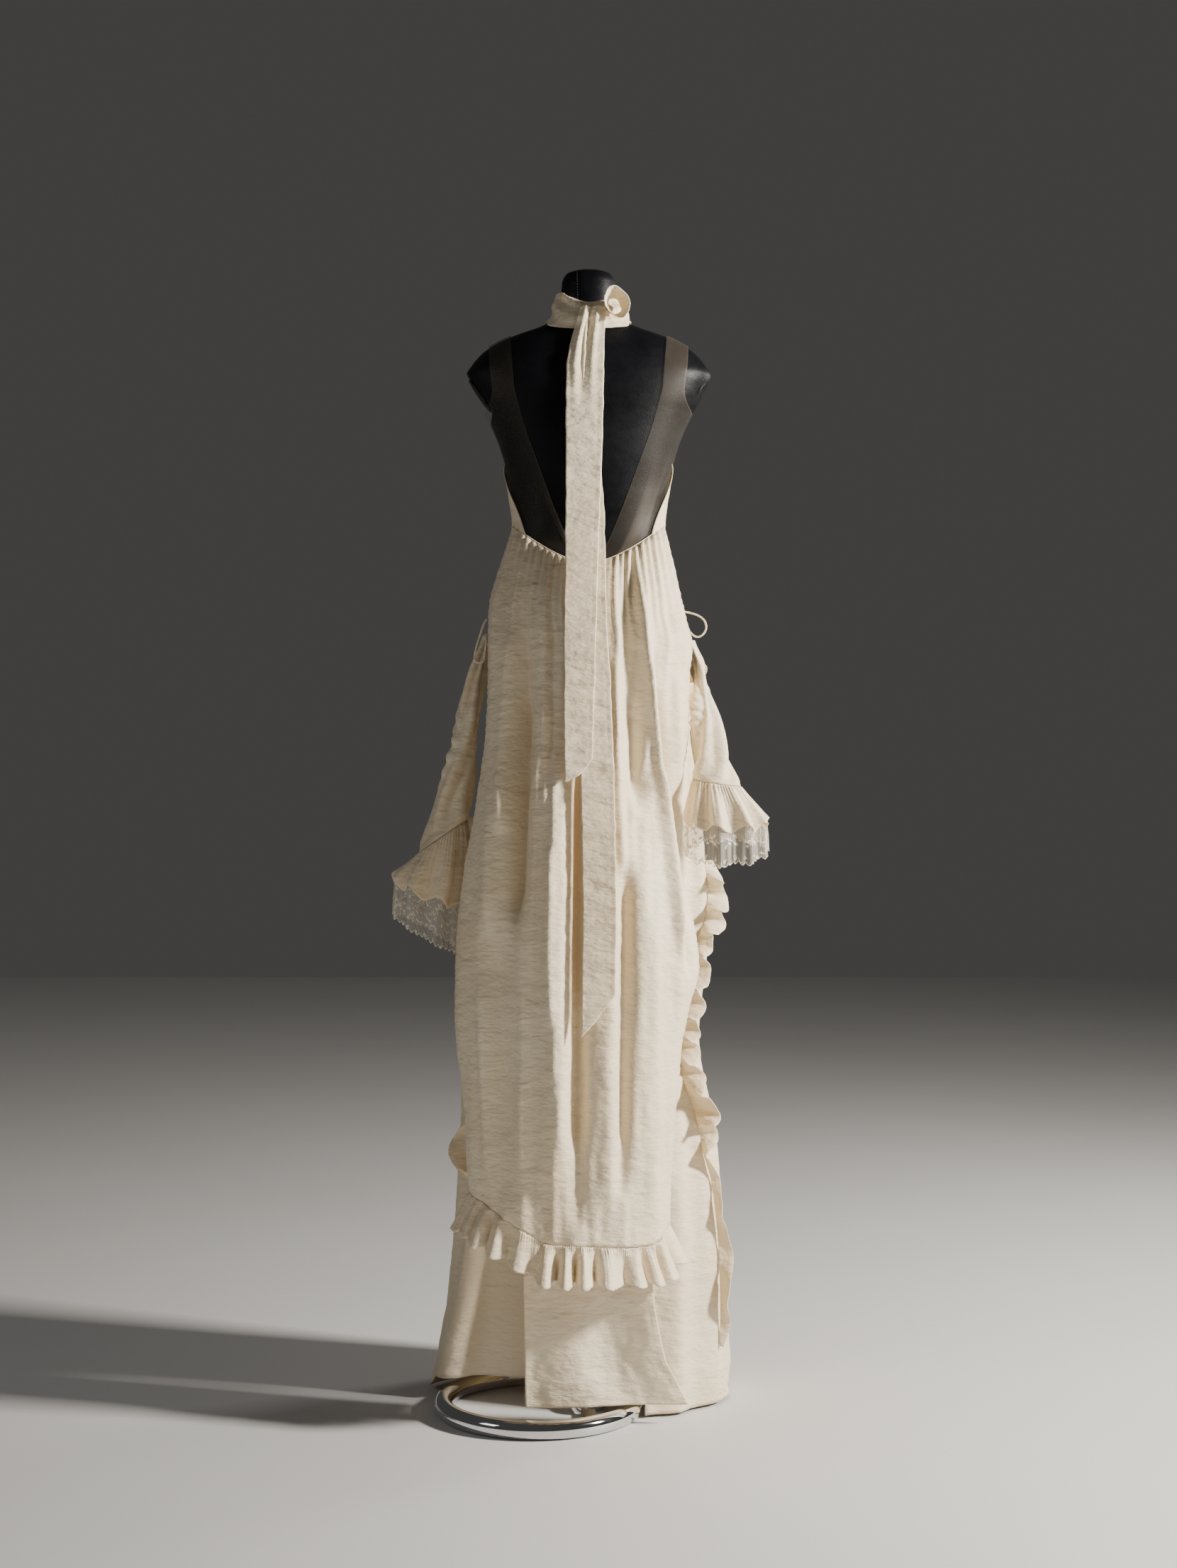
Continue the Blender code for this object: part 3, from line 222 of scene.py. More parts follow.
# Mesh over the shoulders: turn over the shoulder, then share of the way down to the seam
MESH_OVER = {
    "turn": (0, 30, 60, 90, 120, 150),
    "inner": (0.118, 0.122, 0.125, 0.126, 0.122, 0.118),
    "outer": (0.153, 0.158, 0.160, 0.161, 0.160, 0.158),
}
ON_SHOULDER = 0.0026
MESH_DOWN = {
    "share": (0.0, 0.2, 0.45, 0.7, 0.88, 1.0),
    "inner": (0.118, 0.103, 0.078, 0.052, 0.031, 0.013),
    "outer": (0.153, 0.150, 0.128, 0.111, 0.101, 0.094),
}

# Front bodice: how far round it reaches on each side, measured from the centre front
BODICE = {
    "height": (1.430, 1.460, 1.500, 1.545, 1.600, 1.660, 1.720, 1.748),
    "reach": (134.0, 125.0, 111.0, 88.0, 52.0, 33.0, 24.0, 25.0),
}
BODICE_TOP_Z = 1.742

# Neck band, by bearing from the centre back, positive to the right
ON_NECK = 0.0020
NECK_BAND = {
    "bearing": (-180, -120, -90, -60, -30, 0, 30, 60, 90, 120, 180),
    "low": (1.747, 1.764, 1.776, 1.773, 1.762, 1.757, 1.762, 1.773, 1.776, 1.764, 1.747),
    "high": (1.803, 1.812, 1.822, 1.824, 1.812, 1.803, 1.808, 1.820, 1.821, 1.812, 1.803),
    "spread": (0.012, 0.012, 0.010, 0.012, 0.011, 0.009, 0.009, 0.012, 0.012, 0.012, 0.012),
}

NECK_LOOP = {"middle": (0.046, -0.0838, 1.797), "half_width": 0.0185, "half_height": 0.0225,
             "depth": 0.026}

# Sleeves, cuffs and lace: each section's middle, half sizes, tilt and pitch, top first
SLEEVE_LEFT = (
    # x, y, z, half width, half depth, tilt, pitch
    (-0.1652, 0.016, 1.272, 0.0085, 0.013, 8, 0),
    (-0.1800, 0.014, 1.215, 0.013, 0.017, 12, 0),
    (-0.1960, 0.010, 1.147, 0.019, 0.020, 16, 0),
    (-0.2080, 0.007, 1.065, 0.026, 0.022, 20, 0),
    (-0.2230, 0.004, 0.995, 0.034, 0.024, 26, 0),
    (-0.2373, 0.002, 0.942, 0.048, 0.026, 34, 0),
)
SLEEVE_RIGHT = (
    (0.1660, 0.010, 1.262, 0.0085, 0.012, -8, 0),
    (0.1800, -0.004, 1.205, 0.011, 0.015, -10, 0),
    (0.1890, -0.030, 1.150, 0.016, 0.019, -10, 0),
    (0.1960, -0.046, 1.085, 0.028, 0.023, -9, 0),
    (0.2060, -0.060, 1.029, 0.0385, 0.025, -8, 6),
)
CUFF_LEFT = (
    (-0.2385, 0.002, 0.940, 0.048, 0.026, 34, 0),
    (-0.2515, 0.001, 0.890, 0.057, 0.037, 4, 4),
    (-0.2625, 0.000, 0.848, 0.0605, 0.041, -22, 8),
)
CUFF_RIGHT = (
    (0.2062, -0.060, 1.0282, 0.0385, 0.025, -8, 6),
    (0.2140, -0.062, 0.996, 0.055, 0.034, -5, 12),
    (0.2208, -0.064, 0.966, 0.0665, 0.037, -3, 20),
)
LACE_LEFT_END = (-0.2670, 0.000, 0.780, 0.063, 0.042, -30, 8)
LACE_RIGHT_END = (0.2225, -0.066, 0.914, 0.068, 0.038, 2, 34)
CUFF_WAVES = {"left": 9, "right": 10}
CUFF_SWING = 0.006
LACE_INSET = 0.0022

# Ruffles on the front skirt: share round it of the sewn edge, and reach outwards
CASCADE_RIGHT = {
    "height": (0.100, 0.144, 0.250, 0.372, 0.432, 0.499, 0.560, 0.620, 0.695, 0.765, 0.812, 0.864,
               0.900),
    "place": (0.125, 0.125, 0.125, 0.115, 0.100, 0.090, 0.075, 0.070, 0.080, 0.095, 0.115, 0.125,
              0.125),
    "reach": (0.006, 0.022, 0.024, 0.016, 0.022, 0.056, 0.045, 0.042, 0.048, 0.030, 0.040, 0.036,
              0.014),
}
CASCADE_LEFT = {
    "height": (0.370, 0.392, 0.418, 0.452, 0.520, 0.640, 0.760, 0.845, 0.900, 0.970),
    "place": (0.875, 0.875, 0.875, 0.875, 0.875, 0.865, 0.855, 0.850, 0.850, 0.850),
    "reach": (0.010, 0.036, 0.046, 0.018, 0.010, 0.012, 0.014, 0.046, 0.052, 0.042),
}
SIDE_FRILL = {
    "height": (1.115, 1.130, 1.180, 1.215, 1.235),
    "place": (0.165, 0.165, 0.165, 0.165, 0.165),
    "reach": (0.044, 0.052, 0.040, 0.044, 0.014),
}
CLOSE_PITCH = 0.031
OPEN_PITCH = 0.085
PITCH_CHANGE_Z = 0.45

# Gaps and cloth
CLOTH = 0.0016
SEAM_GAP = 0.0004
ON_FORM = 0.0016
OVER_MESH = 0.0048
FRILL_STAND = 0.0021
BACK_COLUMNS = 52
BACK_ROWS = 11
CENTRE_SEAM_ROW = 10
MESH_TURNS = (150, 0)
HEM_SOFTEN = 0.016
HEM_BULGE = 0.0050
HEM_DROP = 0.0042
CUFF_OPEN = 1.35
SIDE_SEAM_Z = 1.4265
NET_UNDER = 0.0018
RIDGE_RISE = 0.45
VALLEY_SINK = 0.9
LEFT_RUN_ON = 0.024
RIGHT_RUN_ON = 0.020
HEM_WIDE = 0.009
HEM_SWELL = 0.00035
STITCH_PITCH = 0.0034

# Pleats of the gathered waist behind: place across, half width, height, run in metres
WAIST_RIDGES = (
    (-0.965, 0.030, 0.0040, 0.16), (-0.890, 0.026, 0.0058, 0.30), (-0.800, 0.022, 0.0050, 0.12),
    (-0.715, 0.024, 0.0062, 0.22), (-0.640, 0.020, 0.0046, 0.09), (-0.545, 0.024, 0.0060, 0.26),
    (-0.465, 0.020, 0.0056, 0.14), (-0.395, 0.022, 0.0050, 0.34), (-0.315, 0.020, 0.0040, 0.10),
    (-0.225, 0.024, 0.0046, 0.20), (-0.140, 0.020, 0.0036, 0.12), (-0.050, 0.024, 0.0044, 0.24),
    (0.040, 0.020, 0.0036, 0.12), (0.130, 0.024, 0.0044, 0.18), (0.215, 0.020, 0.0040, 0.10),
    (0.290, 0.022, 0.0056, 0.26), (0.365, 0.018, 0.0046, 0.11), (0.440, 0.024, 0.0062, 0.18),
    (0.530, 0.020, 0.0050, 0.12), (0.610, 0.024, 0.0064, 0.34), (0.700, 0.020, 0.0050, 0.14),
    (0.780, 0.026, 0.0060, 0.24), (0.865, 0.022, 0.0046, 0.12), (0.945, 0.030, 0.0052, 0.30),
)
# Smaller folds of the back panel, in the same terms as its long ones
SMALL_FOLDS = (
    (1.29, 0.94, -0.121, -0.134, 0.009, 0.012), (1.28, 0.78, -0.0955, -0.112, 0.009, -0.009),
    (1.22, 0.62, -0.062, -0.060, 0.010, 0.008), (1.30, 0.90, -0.055, -0.062, 0.006, -0.005),
    (1.25, 0.88, 0.040, 0.052, 0.008, 0.006), (1.34, 0.70, 0.090, 0.164, 0.007, -0.009),
    (1.38, 0.72, 0.072, 0.149, 0.006, 0.006), (1.22, 0.98, 0.140, 0.148, 0.006, 0.005),
    (0.92, 0.36, 0.058, 0.052, 0.010, -0.007), (0.86, 0.34, 0.105, 0.100, 0.012, 0.005),
    (0.90, 0.40, -0.100, -0.105, 0.010, 0.006), (0.74, 0.40, -0.170, -0.160, 0.008, 0.005),
)
# Lengthwise seams of the back panel, top first: place across and height
BACK_SEAMS = (
    ((-0.107, 0.974), (-0.115, 0.820), (-0.124, 0.678)),
    ((-0.082, 0.889), (-0.075, 0.524), (-0.087, 0.354)),
)

# Crinkle in layers: size, width, height, shift across and up, seed
BACK_LONG_CRINKLE = ((0.0034, 0.021, 0.33, 9, 4, 11), (0.0016, 0.011, 0.085, 3, 7, 12))
BACK_FINE_CRINKLE = ((0.0007, 0.026, 0.013, 20, 30, 13), (0.0004, 0.009, 0.0060, 20, 30, 14))
TAIL_CRINKLE = ((0.0020, 0.090, 0.052, 9, 0, 81), (0.0016, 0.060, 0.0125, 9, 0, 82),
                (0.0006, 0.026, 0.0066, 5, 0, 83))

# Walls of the cloth, and round pieces
THIN = 0.0008
TINY = 1e-12
FORM_EDGE = 0.985
NECK_THICK = 0.0014
TAIL_THICK = 0.0016
HEM_TURN = 0.0012
CORD_SIDES = 14
SMALL_TUBE_SIDES = 8
PIPING_RADIUS = 0.00085
WELT_RADIUS = 0.0007
SIDES = {-1: "left", 1: "right"}

# Nets and lace
LACE_CELL = 0.0016
LACE_THREAD = 0.15
LACE_COVER = 0.62
NET_CELL = 0.0011
MOTIF_WIDE = 0.040
MOTIF_HIGH = 0.032

# Colours
CREAM_LIGHT = (0.890, 0.760, 0.560)
CREAM_DEEP = (0.820, 0.675, 0.470)
# Painted shade: darker cream laid into the crepe's crinkle hollows
CREAM_PAINTED_SHADE = (0.680, 0.520, 0.330)
IVORY = (0.94, 0.87, 0.72)
NUDE_LIGHT = (0.135, 0.110, 0.080)
NUDE_DEEP = (0.090, 0.074, 0.055)
WORLD_TINT = (0.78, 0.76, 0.74, 1.0)
WORLD_STRENGTH = 0.075
BLACK_DEEP = (0.0020, 0.0022, 0.0032)
BLACK_LIGHT = (0.0050, 0.0054, 0.0076)

# Lights: name, place, target, watts, size and colour
LIGHTS = (
    ("key", (3.1, -1.0, 2.2), (0.0, -0.1, 1.0), 350, 0.4, (1.0, 0.955, 0.885)),
    ("rim", (2.2, 1.5, 2.0), (0.0, 0.0, 0.9), 22, 0.7, (1.0, 0.97, 0.93)),
    ("fill", (-2.6, -1.5, 2.0), (0.0, 0.0, 0.9), 8, 1.0, (0.97, 0.98, 1.0)),
)

def mix(a, b, share):
    """Value between two, at a share of the way."""
    return a + (b - a) * share


def ease(share):
    """Smooth step from 0 to 1."""
    share = np.clip(share, 0.0, 1.0)
    return share * share * (3 - 2 * share)


def hump(away, wide):
    """Round hump: 1 at its middle, fading with the distance away from it."""
    return np.exp(-(away / wide) ** 2)


def through(keys, values, at):
    """Values on a smooth curve through the rows, with no overshoot, level past both ends."""
    keys = np.asarray(keys, float)
    values = np.asarray(values, float)
    at = np.clip(at, keys[0], keys[-1])
    low = np.clip(np.searchsorted(keys, at, side="right") - 1, 0, len(keys) - 2)
    steps = np.diff(values) / np.diff(keys)
    before, after = steps[:-1], steps[1:]
    same = before * after > 0
    inner = np.where(same, 2 * before * after / np.where(same, before + after, 1.0), 0.0)
    slopes = np.concatenate([steps[:1], inner, steps[-1:]])
    width = keys[low + 1] - keys[low]
    t = (at - keys[low]) / width
    return (values[low] * (1 + 2 * t) * (1 - t) ** 2 + width * slopes[low] * t * (1 - t) ** 2
            + values[low + 1] * t * t * (3 - 2 * t) + width * slopes[low + 1] * t * t * (t - 1))


def column(table, name, at, key="height"):
    return through(table[key], table[name], at)


def catmull(values, at):
    """Values on a round curve through evenly spaced rows, for places from 0 to 1."""
    last = len(values) - 1
    place = np.clip(at, 0.0, 1.0) * last
    low = np.minimum(place.astype(int), last - 1)
    t = place - low
    ends = np.concatenate([2 * values[:1] - values[1:2], values, 2 * values[-1:] - values[-2:-1]])
    if ends.ndim == 1:
        p0, p1, p2, p3 = (ends[low + k] for k in range(4))
    else:
        p0, p1, p2, p3 = (np.take_along_axis(ends, (low + k)[None], 0)[0] for k in range(4))
    return 0.5 * (2 * p1 + (p2 - p0) * t + (2 * p0 - 5 * p1 + 4 * p2 - p3) * t * t
                  + (3 * p1 - p0 - 3 * p2 + p3) * t ** 3)


def signed_power(value, power):
    """Power of the size, with the sign kept."""
    return np.copysign(np.abs(value) ** power, value)


def places(x, y, z):
    """Points from their three coordinates."""
    return np.stack(np.broadcast_arrays(x, y, z), -1)


def soft_noise(a, b, seed):
    """Smooth noise between -1 and 1 over two coordinates, with one swing a unit."""
    cells = 61
    lattice = np.random.default_rng(seed).uniform(-1, 1, (cells, cells))
    i, j = np.floor(a).astype(int), np.floor(b).astype(int)
    s, t = ease(a - i), ease(b - j)

    def corner(di, dj):
        return lattice[(i + di) % cells, (j + dj) % cells]

    return mix(mix(corner(0, 0), corner(1, 0), s), mix(corner(0, 1), corner(1, 1), s), t)


def crinkle(x, z, layers):
    """Smooth noise in layers, each with its size, width, height, two shifts and a seed."""
    return sum(size * soft_noise(x / wide + shift, z / high + rise, seed)
               for size, wide, high, shift, rise, seed in layers)


def shares(count_down, count_across):
    """Shares across and down of a grid's points."""
    down, across = np.meshgrid(np.linspace(0, 1, count_down + 1),
                               np.linspace(0, 1, count_across + 1), indexing="ij")
    return across, down


def ring_shares(count_down, count_round):
    """Shares down and turns round of a closed grid's points."""
    down, angle = np.meshgrid(np.linspace(0, 1, count_down + 1),
                              np.arange(count_round) * TURN / count_round, indexing="ij")
    return down, angle


def grid_normals(grid, loop=False):
    down = np.gradient(grid, axis=0)
    if loop:
        across = np.roll(grid, -1, 1) - np.roll(grid, 1, 1)
    else:
        across = np.gradient(grid, axis=1)
    normal = np.cross(across, down)
    return normal / np.maximum(np.linalg.norm(normal, axis=-1, keepdims=True), TINY)


def lengths(grid, axis):
    """Distance along the cloth in one direction, in metres."""
    steps = np.linalg.norm(np.diff(grid, axis=axis), axis=-1)
    start = np.zeros_like(steps.take([0], axis))
    return np.concatenate([start, np.cumsum(steps, axis)], axis)


def make_mesh(name, points, faces, material, uv=None, extra=None):
    """One smooth piece that rides with the part; faces is a list of arrays of equal faces."""
    mesh = bpy.data.meshes.new(name)
    mesh.vertices.add(len(points))
    mesh.vertices.foreach_set("co", np.asarray(points, np.float32).ravel())
    corners = np.concatenate([f.ravel() for f in faces])
    sizes = np.concatenate([np.full(len(f), f.shape[1]) for f in faces])
    mesh.loops.add(len(corners))
    mesh.loops.foreach_set("vertex_index", corners.astype(np.int32))
    mesh.polygons.add(len(sizes))
    starts = np.concatenate([[0], np.cumsum(sizes)[:-1]])
    mesh.polygons.foreach_set("loop_start", starts.astype(np.int32))
    mesh.polygons.foreach_set("use_smooth", np.ones(len(sizes), bool))
    mesh.update(calc_edges=True)
    if uv is not None:
        layer = mesh.uv_layers.new(name="cloth")
        layer.data.foreach_set("uv", np.asarray(uv, np.float32)[corners].ravel())
    for key, values in (extra or {}).items():
        mesh.attributes.new(key, "FLOAT", "POINT").data.foreach_set(
            "value", np.asarray(values, np.float32).ravel())
    mesh.materials.append(material)
    made = bpy.data.objects.new(name, mesh)
    bpy.context.scene.collection.objects.link(made)
    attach(made, "root")
    return made


def grid_faces(count_down, count_across, loop):
    """Quads of a grid, and its rim as pairs of neighbouring points."""
    index = np.arange(count_down * count_across).reshape(count_down, count_across)
    if loop:
        index = np.concatenate([index, index[:, :1]], 1)
    quads = np.stack([index[:-1, :-1], index[:-1, 1:], index[1:, 1:], index[1:, :-1]], -1)
    rims = [np.stack([index[0, 1:], index[0, :-1]], -1),
            np.stack([index[-1, :-1], index[-1, 1:]], -1)]
    if not loop:
        rims += [np.stack([index[:-1, 0], index[1:, 0]], -1),
                 np.stack([index[1:, -1], index[:-1, -1]], -1)]
    return quads.reshape(-1, 4), np.concatenate(rims)


def cloth(node, grid, hems=(), loop=False, thick=THIN, net=None, extra=None):
    """The cloth of one node on a grid of points, as a thin wall of crepe or one layer of net.

    A hemmed edge is turned under: the wall is thicker in a band beside it.
    """
    material, slot = net or (CREPE, "crepe")
    name = f"{node}_net" if net else f"{node}_cloth"
    normal = grid_normals(grid, loop)
    across, down = lengths(grid, 1), lengths(grid, 0)
    from_edge = {"top": down, "bottom": down[-1:] - down, "left": across,
                 "right": across[:, -1:] - across}
    hem = np.full(grid.shape[:2], 1.0)
    for edge in hems:
        hem = np.minimum(hem, from_edge[edge])
    half = thick / 2 + HEM_SWELL * (1 - ease((hem - HEM_WIDE) / HEM_TURN))
    uv = np.stack(np.broadcast_arrays(across.mean(0, keepdims=True), down.mean(1, keepdims=True)),
                  -1).reshape(-1, 2)
    values = {"hem": hem.ravel(), **{k: v.ravel() for k, v in (extra or {}).items()}}
    quads, rim = grid_faces(*grid.shape[:2], loop)
    if net:
        made = make_mesh(name, grid.reshape(-1, 3), [quads], material, uv, values)
    else:
        outer = (grid + normal * half[..., None]).reshape(-1, 3)
        inner = (grid - normal * half[..., None]).reshape(-1, 3)
        shift = len(outer)
        edge = np.concatenate([rim, rim[:, ::-1] + shift], 1)
        faces = np.concatenate([quads, quads[:, ::-1] + shift, edge])
        points = np.concatenate([outer, inner])
        a, b, c, d = (points[faces[:, k]] for k in range(4))
        volume = (a * (np.cross(b, c) + np.cross(c, d))).sum()
        if volume < 0:
            faces = faces[:, ::-1]
        made = make_mesh(name, points, [faces], material, np.concatenate([uv, uv]),
                         {k: np.concatenate([v, v]) for k, v in values.items()})
    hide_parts(node)


def capped(name, grid, material, flip=False):
    """Closed body through rings of points, with a flat face over each end."""
    index = np.arange(grid.shape[0] * grid.shape[1]).reshape(grid.shape[:2])
    quads, _ = grid_faces(*grid.shape[:2], True)
    faces = [quads, index[:1, ::-1], index[-1:]]
    if flip:
        faces = [face[:, ::-1] for face in faces]
    return make_mesh(name, grid.reshape(-1, 3), faces, material)


def tube(name, line, radius, material, sides):
    """Round tube along a line of points, capped at both ends."""
    line = np.asarray(line, float)
    ahead = np.gradient(line, axis=0)
    ahead /= np.linalg.norm(ahead, axis=1, keepdims=True)
    side = np.cross(ahead, np.array([0.0, 1.0, 0.02]))
    side /= np.linalg.norm(side, axis=1, keepdims=True)
    rise = np.cross(side, ahead)
    turn = np.arange(sides) * TURN / sides
    radius = np.broadcast_to(radius, len(line))[:, None, None]
    grid = (line[:, None] + radius * (side[:, None] * np.cos(turn)[:, None]
                                      + rise[:, None] * np.sin(turn)[:, None]))
    return capped(name, grid, material)


def stitches(name, line, normal, material, pitch=0.0042, long=0.0028, radius=0.00042):
    """A row of thread stitches along a line, lying on the surface with the given normals."""
    line = np.asarray(line, float)
    along = np.concatenate([[0], np.cumsum(np.linalg.norm(np.diff(line, axis=0), axis=1))])
    count = int(along[-1] / pitch)
    points, faces = [], []
    sides = 6
    turn = np.arange(sides) * TURN / sides
    for k in range(count):
        ends = []
        for share in (-0.5, -0.3, 0.0, 0.3, 0.5):
            at = (k + 0.5) * pitch + share * long
            ends.append([np.interp(at, along, line[:, axis]) for axis in range(3)])
        ends = np.array(ends)
        up = np.array([np.interp((k + 0.5) * pitch, along, normal[:, axis]) for axis in range(3)])
        up /= np.linalg.norm(up)
        ahead = ends[-1] - ends[0]
        ahead /= np.linalg.norm(ahead)
        side = np.cross(ahead, up)
        start = len(points)
        for middle, size, lift in zip(ends, (0.35, 0.9, 1.0, 0.9, 0.35), (0.0, 0.6, 0.8, 0.6, 0.0)):
            middle = middle + up * lift * radius
            points.extend(middle + radius * size * (side * math.cos(a) + up * math.sin(a))
                          for a in turn)
        for ring in range(4):
            for j in range(sides):
                k2 = (j + 1) % sides
                base = start + ring * sides
                faces.append((base + j, base + k2, base + sides + k2, base + sides + j))
    return make_mesh(name, np.array(points), [np.array(faces)], material)


# Materials: each keeps its colour variation, relief and gloss in its own nodes

class Look:
    """A material in the making: its nodes, and the coordinates that its patterns lie in."""

    def __init__(self, name, on_cloth=False):
        self.material = bpy.data.materials.new(name)
        self.material.use_nodes = True
        self.tree = self.material.node_tree
        if on_cloth:
            self.coords = self.node("UVMap", uv_map="cloth").outputs[0]
        else:
            self.coords = self.node("TexCoord").outputs["Object"]

    def fill(self, socket, value):
        """Link a socket to another one's value, or set its own."""
        if isinstance(value, bpy.types.NodeSocket):
            self.tree.links.new(value, socket)
        else:
            socket.default_value = value

    def node(self, kind, inputs=None, **settings):
        made = self.tree.nodes.new(f"ShaderNode{kind}")
        for key, value in settings.items():
            setattr(made, key, value)
        for key, value in (inputs or {}).items():
            self.fill(made.inputs[key], value)
        return made

    def noise(self, scale, stretch=(1, 1, 1), detail=3.0, rough=0.55):
        """Noise in metres: one swing in 1/scale, stretched by an axis's own factor."""
        mapped = self.node("Mapping", {"Vector": self.coords, "Scale": stretch})
        return self.node("TexNoise", {"Vector": mapped.outputs[0], "Scale": scale,
                                      "Detail": detail, "Roughness": rough}).outputs["Fac"]

    def cells(self, scale, uneven, feature="DISTANCE_TO_EDGE"):
        """Distance to the edge or middle of cells in metres."""
        inputs = {"Vector": self.coords, "Scale": scale, "Randomness": uneven}
        return self.node("TexVoronoi", inputs, feature=feature).outputs["Distance"]

    def stored(self, name):
        """Value that the mesh keeps at its points."""
        return self.node("Attribute", attribute_name=name).outputs["Fac"]

    def maths(self, operation, *values, clamp=False):
        return self.node("Math", dict(enumerate(values)), operation=operation,
                         use_clamp=clamp).outputs[0]

    def ramp(self, value, low, high, to_low=0.0, to_high=1.0):
        return self.node("MapRange", {"Value": value, "From Min": low, "From Max": high,
                                      "To Min": to_low, "To Max": to_high}).outputs[0]

    def colours(self, share, a, b):
        """Blend of two colours, each a tuple or a socket."""
        a, b = (c if isinstance(c, bpy.types.NodeSocket) else (*c, 1.0) for c in (a, b))
        return self.node("Mix", {0: share, 6: a, 7: b}, data_type="RGBA").outputs[2]

    def relief(self, *layers):
        """Bumps one over the other, each with its height, strength and depth in metres."""
        normal = None
        for height, strength, depth in layers:
            inputs = {"Height": height, "Strength": strength, "Distance": depth}
            if normal is not None:
                inputs["Normal"] = normal
            normal = self.node("Bump", inputs).outputs[0]
        return normal

    def finish(self, colour, relief, rough, **others):
        """Give the shader its sockets; the others are named with underscores."""
        shader = self.tree.nodes["Principled BSDF"]
        values = {"Base Color": colour, "Normal": relief, "Roughness": rough}
        values.update({key.replace("_", " "): value for key, value in others.items()})
        for key, value in values.items():
            self.fill(shader.inputs[key], value)
        return self.material


def crepe():
    """Washed cream crepe: fine crosswise crinkle, weave, hem stitches and a soft sheen, with painted
    shade darkening the crinkle's hollows.
    """
    look = Look("crepe")
    fine = look.noise(100, (0.75, 0.75, 1.9), 3.5)
    broad = look.noise(30, (0.8, 0.8, 1.8), 2.5, 0.5)
    drift = look.noise(5, (1, 1, 0.6), 2.0)
    grain = look.noise(1500, detail=1.0)
    colour = look.colours(look.ramp(drift, 0.35, 0.65), CREAM_DEEP, CREAM_LIGHT)
    # Painted shade: where the crinkle noise is low, the colour is darkened towards the painted shade
    # colour
    colour = look.colours(look.ramp(fine, 0.30, 0.55, 0.10, 0.0), colour, CREAM_PAINTED_SHADE)
    uv = look.node("UVMap", uv_map="cloth").outputs[0]
    along = look.node("SeparateXYZ", {"Vector": uv})
    total = look.maths("ADD", along.outputs["X"], along.outputs["Y"])
    dash = look.maths("FRACT", look.maths("MULTIPLY", total, 1 / STITCH_PITCH))
    dash = look.ramp(look.maths("PINGPONG", dash, 0.5), 0.12, 0.2)
    line = look.maths("SUBTRACT", look.stored("hem"), HEM_WIDE - HEM_TURN)
    line = look.ramp(look.maths("ABSOLUTE", line), 0.0003, 0.0008, 1.0, 0.0)
    line = look.maths("MULTIPLY", line, dash)
    relief = look.relief((broad, 0.60, 0.0075), (fine, 0.80, 0.0025), (grain, 0.30, 0.0003),
                         (line, -0.8, 0.0006))
    return look.finish(colour, relief, look.ramp(fine, 0.3, 0.7, 0.62, 0.44),
                       Sheen_Weight=0.10, Sheen_Roughness=0.45, Specular_IOR_Level=0.35,
                       Subsurface_Weight=0.10, Subsurface_Radius=(0.006, 0.004, 0.0025),
                       Subsurface_Scale=1.0)


def lace():
    """Ivory net with sprigs: threads round open cells, closed where a sprig lies."""
    look = Look("ivory_lace", on_cloth=True)
    mesh = look.ramp(look.cells(1 / LACE_CELL, 0.25), LACE_THREAD * 0.8, LACE_THREAD * 1.2, 1.0, 0.0)
    motif = look.stored("motif")
    fine = look.noise(900, detail=2.0)
    cover = look.maths("MAXIMUM", look.maths("MULTIPLY", mesh, LACE_COVER),
                       look.ramp(motif, 0.35, 0.62))
    shade = look.colours(look.ramp(fine, 0.3, 0.7), tuple(c * 0.88 for c in IVORY), IVORY)
    height = look.maths("ADD", look.ramp(motif, 0.3, 0.9), look.maths("MULTIPLY", mesh, 0.3))
    relief = look.relief((height, 0.8, 0.0008), (fine, 0.4, 0.0003))
    return look.finish(shade, relief, look.ramp(fine, 0.3, 0.7, 0.6 - 0.1, 0.6 + 0.1),
                       Alpha=cover, Sheen_Weight=0.25, Specular_IOR_Level=0.4)


def nude_net():
    """Nude net: fine threads, its soft pleats denser than the single layer."""
    look = Look("nude_mesh", on_cloth=True)
    threads = look.ramp(look.cells(1 / NET_CELL, 0.2), 0.10, 0.26, 1.0, 0.0)
    pleat = look.stored("pleat")
    drift = look.noise(12, detail=2.0)
    body = look.maths("ADD", look.ramp(pleat, 0.0, 1.0, 0.20, 0.46),
                      look.ramp(drift, 0.3, 0.7, -0.04, 0.06))
    cover = look.maths("ADD", body, look.maths("MULTIPLY", threads, 0.05), clamp=True)
    return look.finish(look.colours(pleat, NUDE_DEEP, NUDE_LIGHT),
                       look.relief((pleat, 0.5, 0.0008)), look.ramp(drift, 0.3, 0.7, 0.45, 0.6),
                       Alpha=cover, Specular_IOR_Level=0.25, Sheen_Weight=0.05)


def leather():
    """Black leather: pebbled grain, faint creases and a broken satin gloss."""
    look = Look("black_leather")
    grain = look.ramp(look.cells(620.0, 0.9, "F1"), 0.0, 0.7)
    crease = look.noise(55, (1, 1, 1.6), 5.0, 0.65)
    wear = look.noise(9)
    gloss = look.maths("ADD", look.ramp(crease, 0.3, 0.7, 0.38, 0.52),
                       look.ramp(wear, 0.3, 0.7, -0.05, 0.06))
    return look.finish(look.colours(look.ramp(wear, 0.35, 0.7), BLACK_DEEP, BLACK_LIGHT),
                       look.relief((crease, 0.35, 0.0012), (grain, 0.35, 0.0004)), gloss,
                       Specular_IOR_Level=0.17)


def thread(name, colour):
    """Twisted sewing thread."""
    look = Look(name)
    twist = look.node("TexWave", {"Vector": look.coords, "Scale": 900.0, "Distortion": 1.0},
                      bands_direction="DIAGONAL").outputs["Fac"]
    return look.finish(look.colours(twist, tuple(c * 0.7 for c in colour), colour),
                       look.relief((twist, 0.5, 0.0002)), 0.6)


